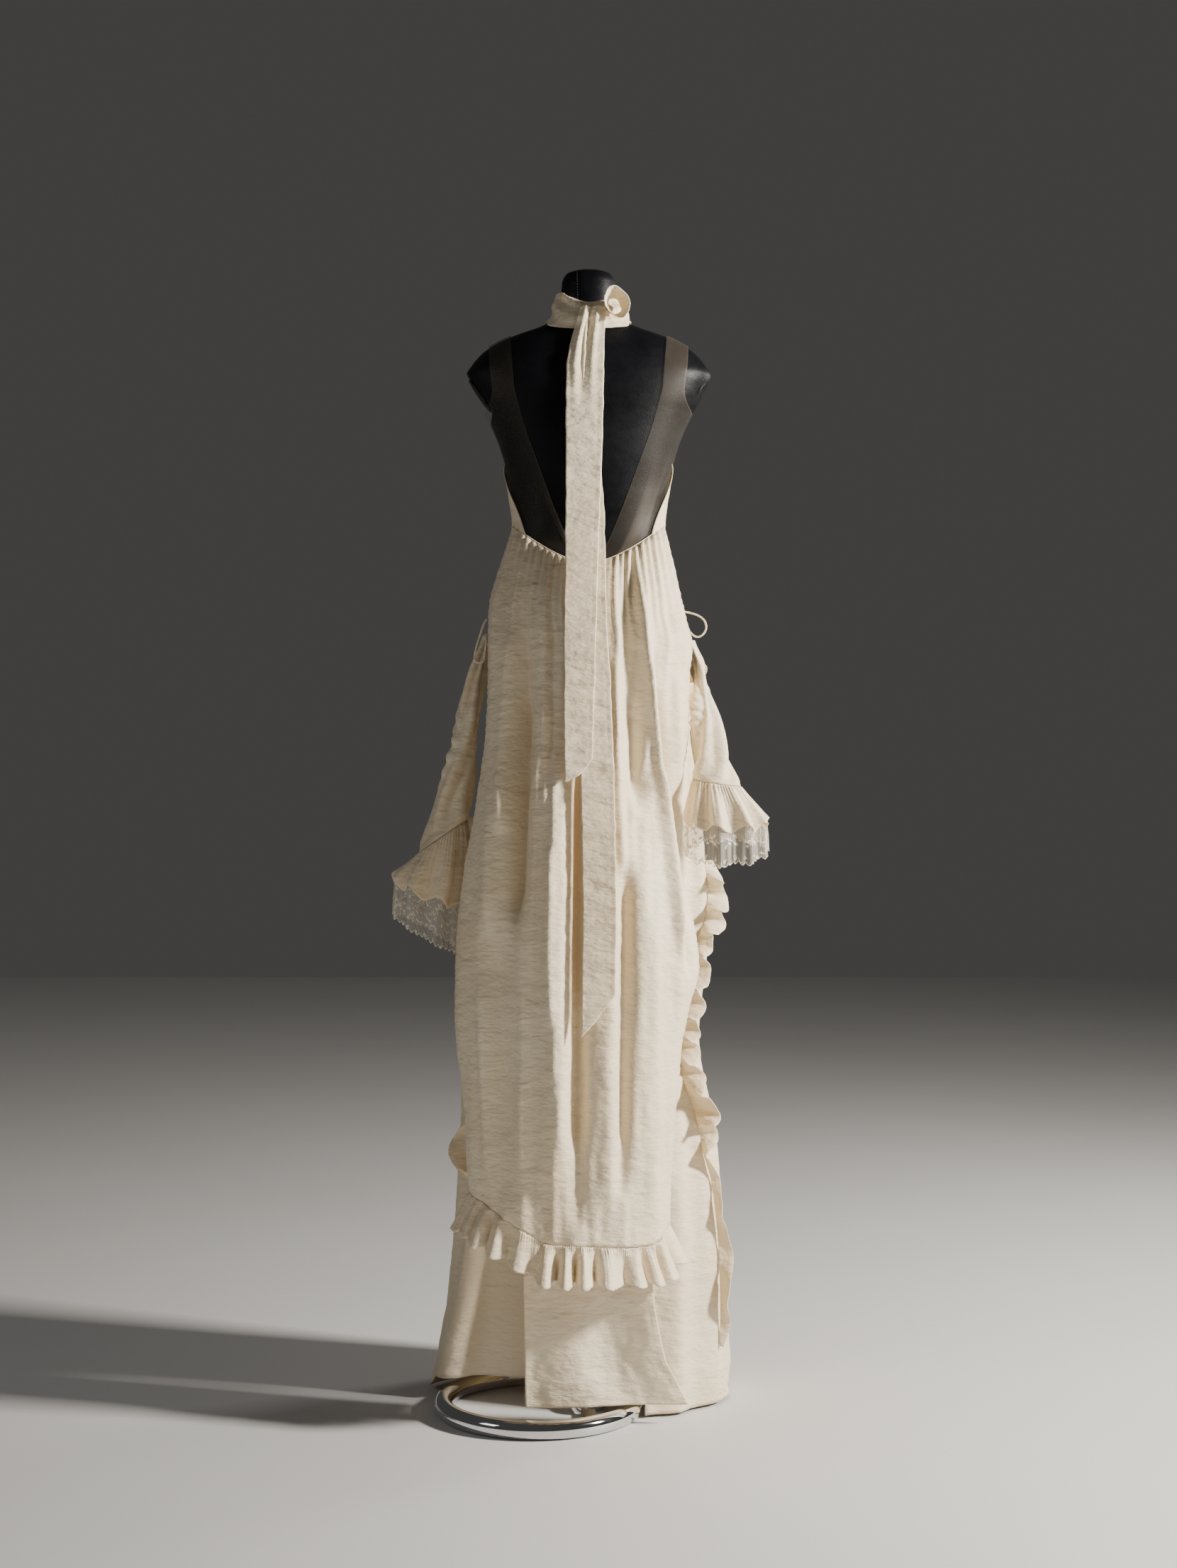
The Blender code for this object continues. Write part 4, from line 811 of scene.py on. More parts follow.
def chrome():
    """Polished chrome with faint wipe marks."""
    look = Look("chrome")
    wipe = look.noise(60, (1, 1, 6), 4.0)
    dust = look.ramp(look.noise(14), 0.4, 0.7)
    return look.finish(look.colours(dust, (0.70, 0.70, 0.71), (0.80, 0.80, 0.81)),
                       look.relief((wipe, 0.04, 0.0003)), look.ramp(wipe, 0.3, 0.75, 0.035, 0.11),
                       Metallic=1.0)


def floor_paint():
    """Pale matt floor."""
    look = Look("floor")
    tone = look.colours(look.noise(1.6, detail=4.0), (0.60, 0.59, 0.575), (0.66, 0.65, 0.64))
    return look.finish(tone, look.relief((look.noise(90), 0.08, 0.001)), 0.7)


CREPE = crepe()
NET_LACE = lace()
NET_NUDE = nude_net()
LEATHER = leather()
CHROME = chrome()
BLACK_THREAD = thread("black_thread", (0.03, 0.03, 0.035))


# Camera and cords come first

def camera():
    data = bpy.data.cameras.new("camera")
    data.lens = LENS
    data.sensor_fit = "VERTICAL"
    data.sensor_height = FRAME_HIGH
    data.sensor_width = FRAME_HIGH
    made = bpy.data.objects.new("camera", data)
    made.location = CAMERA_PLACE
    made.rotation_euler = (math.radians(90), 0.0, 0.0)
    bpy.context.scene.collection.objects.link(made)
    bpy.context.scene.camera = made


def cord(name, route):
    """Round cord on a smooth curve through its route, with both ends in the side seam."""
    route = np.array(route)
    count = 8 * (len(route) - 1)
    at = np.linspace(0, 1, count + 1)
    line = np.stack([catmull(route[:, axis], at) for axis in range(3)], -1)
    made = tube(name, line, CORD_DIAMETER / 2, CREPE, CORD_SIDES)
    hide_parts(name)


camera()
for cord_name, cord_route in CORD_ROUTES.items():
    cord(cord_name, cord_route)


# Surfaces of the form and the garment

def form_size(z, out=0.0):
    """Half width, depth behind and depth in front of the form at each height."""
    return tuple(column(FORM, part, z) + out for part in ("half", "back", "front"))


def round_form(bearing, z, out=0.0):
    """Points of the form's sections; the bearing is 0 at the centre back, 90 on the right."""
    half, back, front = form_size(z, out)
    power = 2 / SECTION_POWER
    angle = np.radians(bearing)
    ahead = -signed_power(np.cos(angle), power)
    return places(half * signed_power(np.sin(angle), power),
                  ahead * np.where(ahead < 0, back, front), z)


def on_form(x, z, behind=True):
    """Points of the form's surface at places across and heights."""
    half, back, front = form_size(z)
    share = np.minimum(np.abs(x) / half, 0.995)
    depth = (1 - share ** SECTION_POWER) ** (1 / SECTION_POWER)
    return places(x, np.where(behind, -back * depth, front * depth), z)


def shoulder_top(x):
    """Height of the shoulder line at places across."""
    low, high = np.full_like(x, 1.70), np.full_like(x, 1.80)
    for _ in range(30):
        middle = (low + high) / 2
        wider = form_size(middle)[0] > np.abs(x)
        low, high = np.where(wider, middle, low), np.where(wider, high, middle)
    return low


def form_normals(points):
    """Directions straight out from the form's surface."""
    step = 0.0004

    def level(shift):
        x, y, z = np.moveaxis(points + shift, -1, 0)
        half, back, front = form_size(z)
        deep = np.where(points[..., 1] < 0, back, front)
        return (np.abs(x) / half) ** SECTION_POWER + (np.abs(y) / deep) ** SECTION_POWER

    slope = np.stack([level(axis) - level(-axis) for axis in np.eye(3) * step], -1)
    return slope / np.linalg.norm(slope, axis=-1, keepdims=True)


def off_form(points, out):
    """Points of the form's surface moved straight out from it."""
    return points + form_normals(points) * np.asarray(out)[..., None]


def over_shoulder(x, turn, out):
    """Points over the shoulder: turn 0 is behind, 90 on the ridge, 180 in front."""
    z = SHOULDER_Z + (shoulder_top(x) - SHOULDER_Z) * np.sin(np.radians(turn))
    return off_form(on_form(x, z, turn < 90), out)


def seam_height(x):
    """Height of the curved waist seam behind."""
    return SEAM_LOW_Z + SEAM_RISE * np.minimum(np.abs(x) / SEAM_HALF, 1.0) ** SEAM_POWER


def under_tail(x, z):
    """1 where the scarf's ends hang close in front of the back panel, 0 elsewhere."""
    return np.exp(-((x - TAIL_MIDDLE_X) / TAIL_COVER) ** 4) * ease((z - 0.58) / 0.05)


def fold_height(x, z, detail=True):
    """Height of the long folds at places across and heights."""
    total = np.zeros_like(x)
    deeper = ease((z - 0.44) / 0.06) * ease((1.19 - z) / 0.07)
    higher = deeper * (1 - under_tail(x, z)) * RIDGE_RISE
    folds = (*FOLDS, *SMALL_FOLDS) if detail else FOLDS
    for top, bottom, x_top, x_bottom, half, height in folds:
        along = np.clip((top - z) / (top - bottom), 0.0, 1.0)
        middle = mix(x_top, x_bottom, along)
        fade = ease(along / 0.16) * ease((1 - along) / 0.12)
        gain = 1 + detail * (deeper * VALLEY_SINK if height < 0 else higher)
        total += height * gain * fade * np.exp(-((x - middle) / half) ** 2)
    return total


def back_heights(u):
    """Top and bottom of the back panel at shares across."""
    swing = np.sin(np.radians(-90 + 180 * u))
    hem_left, hem_right = BACK_HEM["across"][0], BACK_HEM["across"][-1]
    hem_x = mix(hem_left, hem_right, (swing + 1) / 2)
    low = sum(column(BACK_HEM, "height", hem_x + shift, "across")
              for shift in np.linspace(-HEM_SOFTEN, HEM_SOFTEN, 9)) / 9
    top_x = SEAM_HALF * signed_power(swing, 2 / SECTION_POWER)
    return seam_height(top_x), low + 0.0006 * np.sin(150 * hem_x / HEM_SOFTEN)


def back_section(swing, z):
    """Places on the back panel's plain section; swing runs from -1 at its left edge to 1."""
    left, right = column(BACK_PANEL, "left", z), column(BACK_PANEL, "right", z)
    edge, middle = column(BACK_PANEL, "edge", z), column(BACK_PANEL, "middle", z)
    x = (left + right) / 2 + (right - left) / 2 * swing
    deep = np.maximum(1 - swing * swing, 0.0) ** 0.43
    return places(x, edge + (middle - edge) * deep, z)


def seam_pucker(x, z):
    """Groove and puckers of the back panel's two lengthwise seams."""
    total = np.zeros_like(x)
    for route in BACK_SEAMS:
        heights = [z0 for _, z0 in route][::-1]
        line = np.interp(z, heights, [x0 for x0, _ in route][::-1])
        inside = ease((z - heights[0]) / 0.02) * ease((heights[-1] - z) / 0.02)
        away = x - line
        pucker = 0.0007 * np.sin(z * 620 + 4 * soft_noise(z * 30, 0 * z, 3))
        ridge = pucker * hump(away, 0.009) - 0.0010 * hump(away, 0.0016)
        total += inside * ridge
    return total


def gathers(swing, drop):
    """Small pleats of the gathered waist: ridges that run out at different lengths."""
    total = np.zeros_like(swing)
    for place, wide, height, run in WAIST_RIDGES:
        lean = place + 0.10 * drop * math.sin(37 * place)
        shape = np.exp(-((swing - lean) / (wide * (1 + 2.2 * drop))) ** 2)
        total += 1.5 * height * shape * ease(drop / 0.010) * np.exp(-(drop / run) ** 1.5)
    tight = 0.0011 * np.sin(155 * swing + 3 * np.sin(31 * swing)) * np.exp(-drop / 0.016)
    return total + tight - 0.0018 * ease(drop / 0.01) * hump(drop, 0.09)


def back_crumple(x, z, drop):
    """Soft unevenness of the hanging back panel."""
    return (crinkle(x, z, BACK_LONG_CRINKLE) * ease(drop / 0.15)
            + crinkle(x, z, BACK_FINE_CRINKLE) * ease(drop / 0.03))


def back_point(u, v, detail=True):
    """Points of the back panel: u from its left edge to its right, v from seam to hem."""
    bearing = np.radians(-90 + 180 * u)
    swing = np.sin(bearing)
    top, low = back_heights(u)
    z = mix(top, low, v)
    plain = back_section(swing, z)
    drop = top - z
    if detail:
        lift = gathers(swing, drop)
        lift = lift + back_crumple(plain[..., 0], z, drop) + seam_pucker(plain[..., 0], z)
        edges = hump(u, 0.02) + hump(1 - u, 0.02)
        lift = lift + 0.0010 * edges * np.sin(z * 560 + 3 * soft_noise(z * 40, 0 * z, 5))
        lift = mix(lift, np.minimum(lift, 0.0004), under_tail(plain[..., 0], z))
    else:
        gather = np.sin(TURN * GATHERS * u + 1.3 * np.sin(TURN * 3.2 * u))
        lift = GATHER_HEIGHT * (0.5 + 0.5 * gather) * np.exp(-drop / GATHER_FADE)
    shown = 0.85 if detail else 0.2
    seat = round_form(np.degrees(bearing), top, OVER_MESH + 0.0003 + lift * shown)
    lift = lift + fold_height(plain[..., 0], z, detail)
    point = plain + np.stack([lift * np.sin(bearing) * 0.7, -lift * np.cos(bearing), 0 * z], -1)
    return mix(seat, point, ease(v / 0.10)[..., None])


def front_plan(u, z):
    """Places round the front skirt's plan, smooth between the tabled rows."""
    heights = [row[0] for row in FRONT_PLAN][::-1]
    at = []
    for axis in (0, 1):
        lines = [through(heights, [row[1][k][axis] for row in FRONT_PLAN][::-1], z)
                 for k in range(len(FRONT_PLAN[0][1]))]
        at.append(catmull(np.stack(lines), u))
    return places(at[0], at[1], z)


def front_hem(u):
    """Height of the front skirt's hem: it rides over the stand's ring at the left end."""
    return mix(FRONT_HEM_Z, OVER_RING_Z, ease((u - 0.80) / 0.06))


def front_normal(u, z):
    ahead = front_plan(np.minimum(u + 0.01, 1.0), z) - front_plan(np.maximum(u - 0.01, 0.0), z)
    normal = np.stack([ahead[..., 1], -ahead[..., 0], 0 * ahead[..., 0]], -1)
    return normal / np.linalg.norm(normal, axis=-1, keepdims=True)


def front_point(u, v, detail=True):
    """Points of the front skirt: u from its right edge round to its left, v waist to hem."""
    z = mix(FRONT_TOP_Z, front_hem(u), v)
    wave = np.sin(TURN * FRONT_WAVES * u + 1.1 * np.sin(TURN * 2.3 * u))
    lift = FRONT_SWING * wave * ease(v / 0.5) * ease(u / 0.06) * ease((1 - u) / 0.06)
    if detail:
        long = 0.0035 * soft_noise(u * 34, z / 0.5 + 2, 21)
        cross = 0.0007 * soft_noise(u * 22, z / 0.014, 22)
        cross = cross + 0.0004 * soft_noise(u * 170, z / 0.006, 23)
        fine = (0.0018 * np.sin(TURN * 46 * u + 2 * np.sin(40 * u))
                * np.exp(-v / 0.05) * ease(v / 0.01))
        free = ease(u / 0.04) * ease((1 - u) / 0.04)
        crease = 0.006 * soft_noise(u * 16 + 5, z / 0.055, 24) * ease((0.20 - z) / 0.2)
        lift = lift + long * ease(v / 0.2) * free + cross + fine + crease * free
    return front_plan(u, z) + front_normal(u, z) * lift[..., None]


def bodice_edge(z):
    """Place across of the front bodice's rear edge at heights below the arm."""
    share = (z - SIDE_SEAM_Z) / (BODICE_TOP_Z - SIDE_SEAM_Z)
    reach = column(BODICE, "reach", mix(FRONT_TOP_Z, BODICE_TOP_Z, share))
    side = round_form(180 - reach, z, OVER_MESH)[..., 0] + NET_UNDER
    return np.where(z > 1.54, 1.0, side)


def section_row(table, v):
    """Middle, half sizes and tilts at shares down a sleeve's table."""
    rows = np.array(table)
    return [catmull(rows[:, k], v) for k in range(rows.shape[1])]


def section_grid(table, v, angle, waves=0, swing=0.0, inset=0.0, extra=0.0):
    """Points round the sections of a sleeve, cuff or lace."""
    x, y, z, half, deep, tilt, pitch = section_row(table, v)
    tilt, pitch = np.radians(tilt), np.radians(pitch)
    wave = swing * (0.4 + 0.6 * np.abs(np.sin(angle)))
    wave = wave * np.sin(waves * angle + 0.9 * np.sin(2 * angle)) - inset + extra
    side = (half + wave) * np.cos(angle)
    ahead = (deep + wave) * np.sin(angle)
    return places(x + side * np.cos(tilt), y + ahead * np.cos(pitch),
                  z + side * np.sin(tilt) + ahead * np.sin(pitch))


def pleat_phase(z):
    """Turns of the ruffles' waves down to a height: close above, open below."""
    high = (z - PITCH_CHANGE_Z) / CLOSE_PITCH
    return high if z > PITCH_CHANGE_Z else (z - PITCH_CHANGE_Z) / OPEN_PITCH


def pleat_height(phase):
    """Heights at which the ruffles' waves reach a number of turns."""
    return PITCH_CHANGE_Z + phase * np.where(phase > 0, CLOSE_PITCH, OPEN_PITCH)


# Pieces of the dress

def back_skirt():
    u, v = shares(280, 150)
    v = mix(v, v * v, 0.35)
    grid = back_point(u, v)
    grid[0, :, 2] -= SEAM_GAP
    cloth("back_skirt", grid, hems=("left", "right"))


def back_hem_ruffle():
    u, v = shares(20, 600)
    bearing = np.radians(-90 + 180 * u)
    hem = 1.0 + 0 * u
    grid = mix(back_point(u, hem), back_point(u, hem, detail=False), ease(v / 0.4)[..., None])
    turn = TURN * (HEM_FRILL["waves"] * u + 0.42 * soft_noise(u * 7, 0 * u, 30))
    size = 1 + 0.5 * soft_noise(u * 11, 0 * u, 34)
    swing = np.sin(turn) + 0.22 * np.sin(2.1 * turn + 0.8)
    fine = 0.0030 * soft_noise(u * 50, v * 0.6, 31) * (1 - 0.55 * v)
    tight = 0.0008 * np.sin(TURN * 140 * u) * np.exp(-v / 0.15)
    lift = (0.010 * v + 1.2 * HEM_FRILL["swing"] * size * swing * v ** 0.7
            + (fine + tight) * ease(v / 0.05))
    side = -HEM_BULGE * v ** 1.5 * size * np.cos(turn)
    spread = (0.008 + HEM_FLARE * np.maximum(1 - u / 0.12, 0.0)) * v
    grid[..., 0] += (lift + spread) * np.sin(bearing) + side * np.cos(bearing)
    grid[..., 1] -= lift * np.cos(bearing) - side * np.sin(bearing)
    grid[..., 2] -= CLOTH / 2 + SEAM_GAP + HEM_FRILL["depth"] * v * (0.97 - 0.03 * np.cos(turn))
    grid[..., 2] -= HEM_DROP * v ** 1.4 * (swing * size - 0.3)
    cloth("back_hem_ruffle", grid, hems=("bottom",))


def front_skirt():
    """Front skirt; below, both its back edges run on behind the panel between them."""
    u, v = shares(220, 130)
    grid = front_point(u, v)
    grid[0, :, 2] -= SEAM_GAP
    grid[..., 1] += 0.0008 * np.sin(TURN * 60 * u) * ease((v - 0.97) / 0.03)
    below = ease((0.40 - grid[..., 2]) / 0.08)
    right, left = ease(1 - u / 0.05) * below, ease((u - 0.95) / 0.05) * below
    grid[..., 0] += LEFT_RUN_ON * left - RIGHT_RUN_ON * right
    grid[..., 1] -= 0.010 * left - 0.012 * right
    cloth("front_skirt", grid,
          hems=("left", "right", "bottom"))


def centre_panel():
    u, v = shares(120, 80)
    top_v = (CENTRE_SEAM_ROW / BACK_ROWS) ** 1.15
    seam = back_point(mix(CENTRE_FROM, CENTRE_TO, u) / BACK_COLUMNS, top_v + 0 * u, detail=False)
    deepest = seam[0, :, 1].max() + CLOTH + SEAM_GAP
    z = mix(seam[..., 2], CENTRE_PANEL["height"][0], v)
    x = mix(column(CENTRE_PANEL, "left", z), column(CENTRE_PANEL, "right", z), u)
    fold = 0.005 * np.sin(TURN * (1.6 * u + 0.2))
    slant = 0.030 * (u - 0.5) * ease((0.30 - z) / 0.25)
    crumple = (0.0022 * soft_noise(u * 5, z / 0.11, 41) + 0.0012 * soft_noise(u * 13, z / 0.03, 42)
               + 0.0006 * soft_noise(u * 20, z / 0.008, 43))
    hang = ease(v / 0.22)
    y = mix(deepest, column(CENTRE_PANEL, "depth", z) + fold + slant + crumple, hang)
    grid = places(mix(seam[..., 0], x, ease(v / 0.17)), y, z)
    cloth("centre_panel", grid,
          hems=("left", "right", "bottom"))


def tail(name, table, end, off):
    """Hanging end of the scarf: a crinkled double strip, cut aslant."""
    u, v = shares(330, 26)
    low = through([k for k, _ in end], [z for _, z in end], u)
    z = mix(TAIL_HANG["height"][-1], low, v)
    x = mix(column(table, "left", z), column(table, "right", z), u)
    x = x + 0.0007 * soft_noise(0 * z, z / 0.016, 85)
    hang = np.interp(z, TAIL_HANG["height"], TAIL_HANG["depth"])
    pleat = 0.0045 * ease((z - 1.60) / 0.15)
    pinch = pleat * (hump(u - 0.22, 0.09) - 0.7 * hump(u - 0.42, 0.08)
                     + 0.8 * hump(u - 0.68, 0.09))
    grid = places(x, hang - off - np.maximum(crinkle(x, z, TAIL_CRINKLE), -0.0016) - pinch, z)
    seam = hump(u - 0.86, 0.012) * ease((1.70 - z) / 0.05)
    grid[..., 1] += 0.0007 * seam
    cloth(name, grid, thick=TAIL_THICK)


def mesh_yoke(side):
    """Nude net over the shoulder and down the back to the waist seam, softly pleated."""
    u, turn = shares(60, 48)
    turn = mix(MESH_TURNS[0], MESH_TURNS[-1], turn)
    inner, outer = column(MESH_OVER, "inner", turn, "turn"), column(MESH_OVER, "outer", turn, "turn")
    over = over_shoulder(side * mix(inner, outer, u), turn, ON_SHOULDER)
    u, v = shares(170, 48)
    end_x = mix(MESH_DOWN["inner"][-1], MESH_DOWN["outer"][-1], u)
    z = mix(SHOULDER_Z, seam_height(end_x) + SEAM_GAP, v)
    outer = column(MESH_DOWN, "outer", v, "share") + 0.034 * ease(v / 0.3)
    x = mix(column(MESH_DOWN, "inner", v, "share"), outer, u)
    limit = np.minimum(form_size(z)[0] * FORM_EDGE, bodice_edge(z))
    x = np.minimum(x, limit)
    out = mix(ON_SHOULDER, ON_FORM, ease(v / 0.15))
    out = mix(out, OVER_MESH, ease((v - 0.88) / 0.1))
    out = np.maximum(out, mix(ON_FORM, 0.0042, ease((x - limit + 0.02) / 0.02)))
    down = off_form(on_form(side * x, z), out)
    grid = np.concatenate([over, down[1:]])
    share = np.concatenate([np.zeros(over.shape[:2]), v[1:]])
    across = np.broadcast_to(np.linspace(0, 1, grid.shape[1]), grid.shape[:2])
    pleat = 0.5 + 0.5 * soft_noise(across * 13 + 2, share * 1.5 + 3, 50 + side)
    pleat = ease((pleat - 0.35) / 0.4) * ease((share - 0.30) / 0.6)
    edge = np.exp(-(np.minimum(across, 1 - across) / 0.018) ** 2)
    veil = ease((0.1 - np.abs(share)) / 0.1) * 0.35
    grid = grid + form_normals(grid) * (0.0006 * pleat)[..., None]
    cloth(f"mesh_yoke_{SIDES[side]}", grid, net=(NET_NUDE, "mesh"),
          extra={"pleat": np.clip(pleat * 0.9 + edge * 0.8 + veil, 0, 1)})


def bodice_front():
    u, v = shares(90, 84)
    u = 2 * u - 1
    reach_low = column(BODICE, "reach", np.array(FRONT_TOP_Z))
    foot = round_form(180 - u * reach_low, FRONT_TOP_Z + 0 * u, OVER_MESH)
    low = np.where(foot[..., 1] < 0, seam_height(foot[..., 0]), FRONT_TOP_Z)
    reach = column(BODICE, "reach", mix(FRONT_TOP_Z, BODICE_TOP_Z, v))
    z = mix(low + SEAM_GAP, BODICE_TOP_Z, v)
    pull = 0.0016 * (0.5 + 0.5 * np.sin(TURN * 30 * u + 2 * np.sin(17 * u)))
    soft = pull * np.exp(-v / 0.18) + 0.0008 * (1 + soft_noise(u * 12, v * 9, 61)) / 2
    gather = 0.0022 * (0.5 + 0.5 * np.sin(TURN * 11 * u)) * ease((v - 0.6) / 0.4)
    grid = round_form(180 - u * reach, z, OVER_MESH + soft + gather)
    cloth("bodice_front", grid, hems=("left", "right"))


def neck_band():
    share, turn = ring_shares(30, 210)
    bearing = np.degrees(turn) - 180
    low = column(NECK_BAND, "low", bearing, "bearing")
    high = column(NECK_BAND, "high", bearing, "bearing")
    spread = column(NECK_BAND, "spread", bearing, "bearing")
    z = mix(low, high, share)
    seat = off_form(round_form(bearing, z), ON_NECK + 0 * z)
    out = spread * (np.sin(math.pi * share) + 0.5 * ease((share - 0.7) / 0.3))
    away = seat * np.array([1.0, 1.0, 0.0])
    away /= np.linalg.norm(away, axis=-1, keepdims=True)
    angle = np.radians(bearing)
    crease = 0.0012 * np.sin(angle * 7 + 5 * share)
    drape = 0.0022 * np.sin(3 * angle + 9 * share) * np.sin(math.pi * share)
    crease = crease + drape + 0.0008 * soft_noise(angle * 16 + 60, share * 3 + 8 * angle % 61, 71)
    grid = seat + away * np.maximum(out + crease, 0.0)[..., None]
    cloth("neck_band", grid, loop=True, thick=NECK_THICK)


def neck_loop():
    """Bow loop right of the centre back: a puffed ribbon turned back on itself."""
    share, angle = ring_shares(30, 150)
    soft = 0.0007 * np.sin(4 * angle + 3 * share) + 0.0004 * soft_noise(angle * 7, share * 5, 75)
    small = 1 - 0.42 * ease(share)
    mid_x, mid_y, mid_z = NECK_LOOP["middle"]
    half, high = NECK_LOOP["half_width"], NECK_LOOP["half_height"]
    x = mid_x + (half * small + soft) * np.cos(angle) - 0.004 * share
    y = mid_y + NECK_LOOP["depth"] * share + 0.003 * np.sin(2 * angle)
    z = (mid_z - 0.002 * share + (high * small + soft) * np.sin(angle)
         - 0.006 * small * np.cos(angle))
    lip = 0.0016 * hump(share, 0.12)
    grid = places(x + lip * np.cos(angle), y, z + lip * np.sin(angle))
    cloth("neck_loop", grid, loop=True, thick=NECK_THICK)


def sleeve(name, table, seed):
    v, angle = ring_shares(96, 90)
    around = angle / (TURN)
    wrinkle = (0.0042 * np.sin(2 * angle + 11 * v + 2 * soft_noise(v * 3, around * 0, seed))
               + 0.0030 * np.sin(5 * angle + 7 * v + 2 * soft_noise(v * 4, around * 0, seed + 3))
               + 0.0026 * soft_noise(v * 6 + 3, around * 9, seed + 1) * np.sin(angle) ** 2)
    cross = 0.0009 * soft_noise(v * 28, around * 8 % 8, seed + 2) * np.sin(angle) ** 2
    bunch = hump(v - 0.52, 0.12) * hump(np.cos(angle) + 0.9, 0.5)
    cross = cross + bunch * (0.0030 * np.sin(v * 95 + 3 * np.sin(angle)) + 0.002)
    wrinkle = wrinkle * ease(v / 0.2) * ease((1 - v) / 0.06)
    grid = section_grid(table, v, angle, extra=wrinkle + cross)
    cloth(name, grid, loop=True)


def cuff(side, sections, lace_end):
    """Gathered cuff ruffle with the lace ruffle that hangs from inside it."""
    waves = CUFF_WAVES[side]
    v, angle = ring_shares(24, 270)
    swing = np.interp(v, (0, 0.5, 1), (0.0008, CUFF_SWING * 0.8, CUFF_SWING * CUFF_OPEN))
    fine = 0.0014 * np.sin(46 * angle + 3 * np.sin(5 * angle)) * np.exp(-v / 0.25)
    fine = fine + 0.0020 * np.sin(23 * angle + 2 * np.sin(3 * angle)) * v * (1 - 0.6 * v)
    grid = section_grid(sections, v, angle, waves, swing, extra=fine * ease(v / 0.06))
    grid[..., 2] += 0.0080 * v ** 2 * np.sin(waves * angle + 0.9 * np.sin(2 * angle) + 0.6)
    cloth(f"cuff_{side}", grid, hems=("bottom",), loop=True)
    v, angle = ring_shares(46, 420)
    scallop = np.abs(np.sin(angle * 22)) ** 0.7
    rows = [sections[1], sections[2], lace_end]
    down = v * (0.955 + 0.045 * scallop)
    swing = np.interp(down, (0, 0.5, 1), (CUFF_SWING * 0.7, CUFF_SWING, CUFF_SWING))
    fine = 0.0014 * np.sin(31 * angle + 2 * np.sin(4 * angle)) * ease((v - 0.5) / 0.4)
    grid = section_grid(rows, down, angle, waves, swing, LACE_INSET + 0.0004, extra=fine)
    along = lengths(np.concatenate([grid, grid[:, :1]], 1), 1)[:, :-1].mean(0, keepdims=True)
    deep = lengths(grid, 0).mean(1, keepdims=True)
    edge = hump(deep[-1:] - deep, 0.0022)
    motif = np.maximum(lace_motif(along + 0 * deep, deep + 0 * along), edge)
    cloth(f"lace_{side}", grid, loop=True, net=(NET_LACE, "lace"), extra={"motif": motif})


def lace_motif(a, b):
    """Sprigs of small flowers and leaves on the net: 1 on a thread motif, 0 on open net."""
    row = np.floor(b / MOTIF_HIGH)
    x = (a / MOTIF_WIDE + 0.5 * row) % 1.0 - 0.5
    y = (b / MOTIF_HIGH) % 1.0 - 0.5
    x, y = x * MOTIF_WIDE, y * MOTIF_HIGH

    def petals(cx, cy, size, count):
        reach = np.hypot(x - cx, y - cy)
        turn = np.arctan2(y - cy, x - cx)
        edge = size * (0.62 + 0.38 * np.cos(count * turn))
        return ease((edge - reach) / 0.0012) * ease((reach - 0.0009) / 0.0008)

    def leaf(cx, cy, degrees, long, wide):
        c, s = math.cos(math.radians(degrees)), math.sin(math.radians(degrees))
        along, beside = (x - cx) * c + (y - cy) * s, (y - cy) * c - (x - cx) * s
        return ease((1 - (along / long) ** 2 - (np.abs(beside) / wide) ** 1.5) / 0.25)

    stem = ease((0.0009 - np.abs(y - 0.004 * np.sin(x * TURN / MOTIF_WIDE))) / 0.0008)
    shapes = [petals(0.0, 0.002, 0.0072, 5), petals(-0.011, -0.006, 0.0046, 6),
              leaf(0.010, 0.006, 35, 0.0055, 0.0022), leaf(0.009, -0.006, -30, 0.0050, 0.0020),
              leaf(-0.009, 0.008, 140, 0.0048, 0.0019), 0.9 * stem]
    return np.max(shapes, axis=0)


def skirt_frill(name, table, seed, pitch_share=0.72, across=0.018, curl=0.008):
    """Ruffle sewn down the front skirt, standing out from it in curled waves."""
    highest, lowest = pleat_phase(table["height"][-1]), pleat_phase(table["height"][0])
    count = int((highest - lowest) * 28)
    u, v = shares(20, count)
    phase = mix(highest, lowest, u)
    z = pleat_height(phase)
    place = column(table, "place", z)
    down = (FRONT_TOP_Z - z) / (FRONT_TOP_Z - front_hem(place))
    base = front_point(place, down, detail=False)
    away = front_normal(place, z)
    along = np.stack([-away[..., 1], away[..., 0], 0 * z], -1)
    turn = TURN * phase * pitch_share + 1.1 * np.sin(1.1 * phase + seed)
    size = 1 + 0.35 * soft_noise(phase * 0.9, 0 * phase, seed)
    swing = across * size * np.sin(turn) + 0.0022 * np.sin(2.7 * turn + 1)
    fine = 0.0012 * np.sin(11 * turn) * np.exp(-v / 0.2)
    reach = column(table, "reach", z)
    wide = np.minimum(reach / 0.028, 1.0)
    outward = np.sign((along[..., 0] * base[..., 0]).mean())
    lobe = 1 - 0.30 * v * (0.5 - 0.5 * np.cos(turn + 0.7)) * size
    grid = (base + away * (FRILL_STAND + reach * v * lobe)[..., None]
            + along * (wide * swing * v ** 0.8 + fine * ease(v / 0.05))[..., None])
    grid[..., 2] -= wide * curl * v * v * (outward * np.cos(turn) + 0.35)
    grid[..., 2] += 0.0009 * soft_noise(phase * 9, v * 3, seed + 1)
    cloth(name, grid, hems=("bottom",))


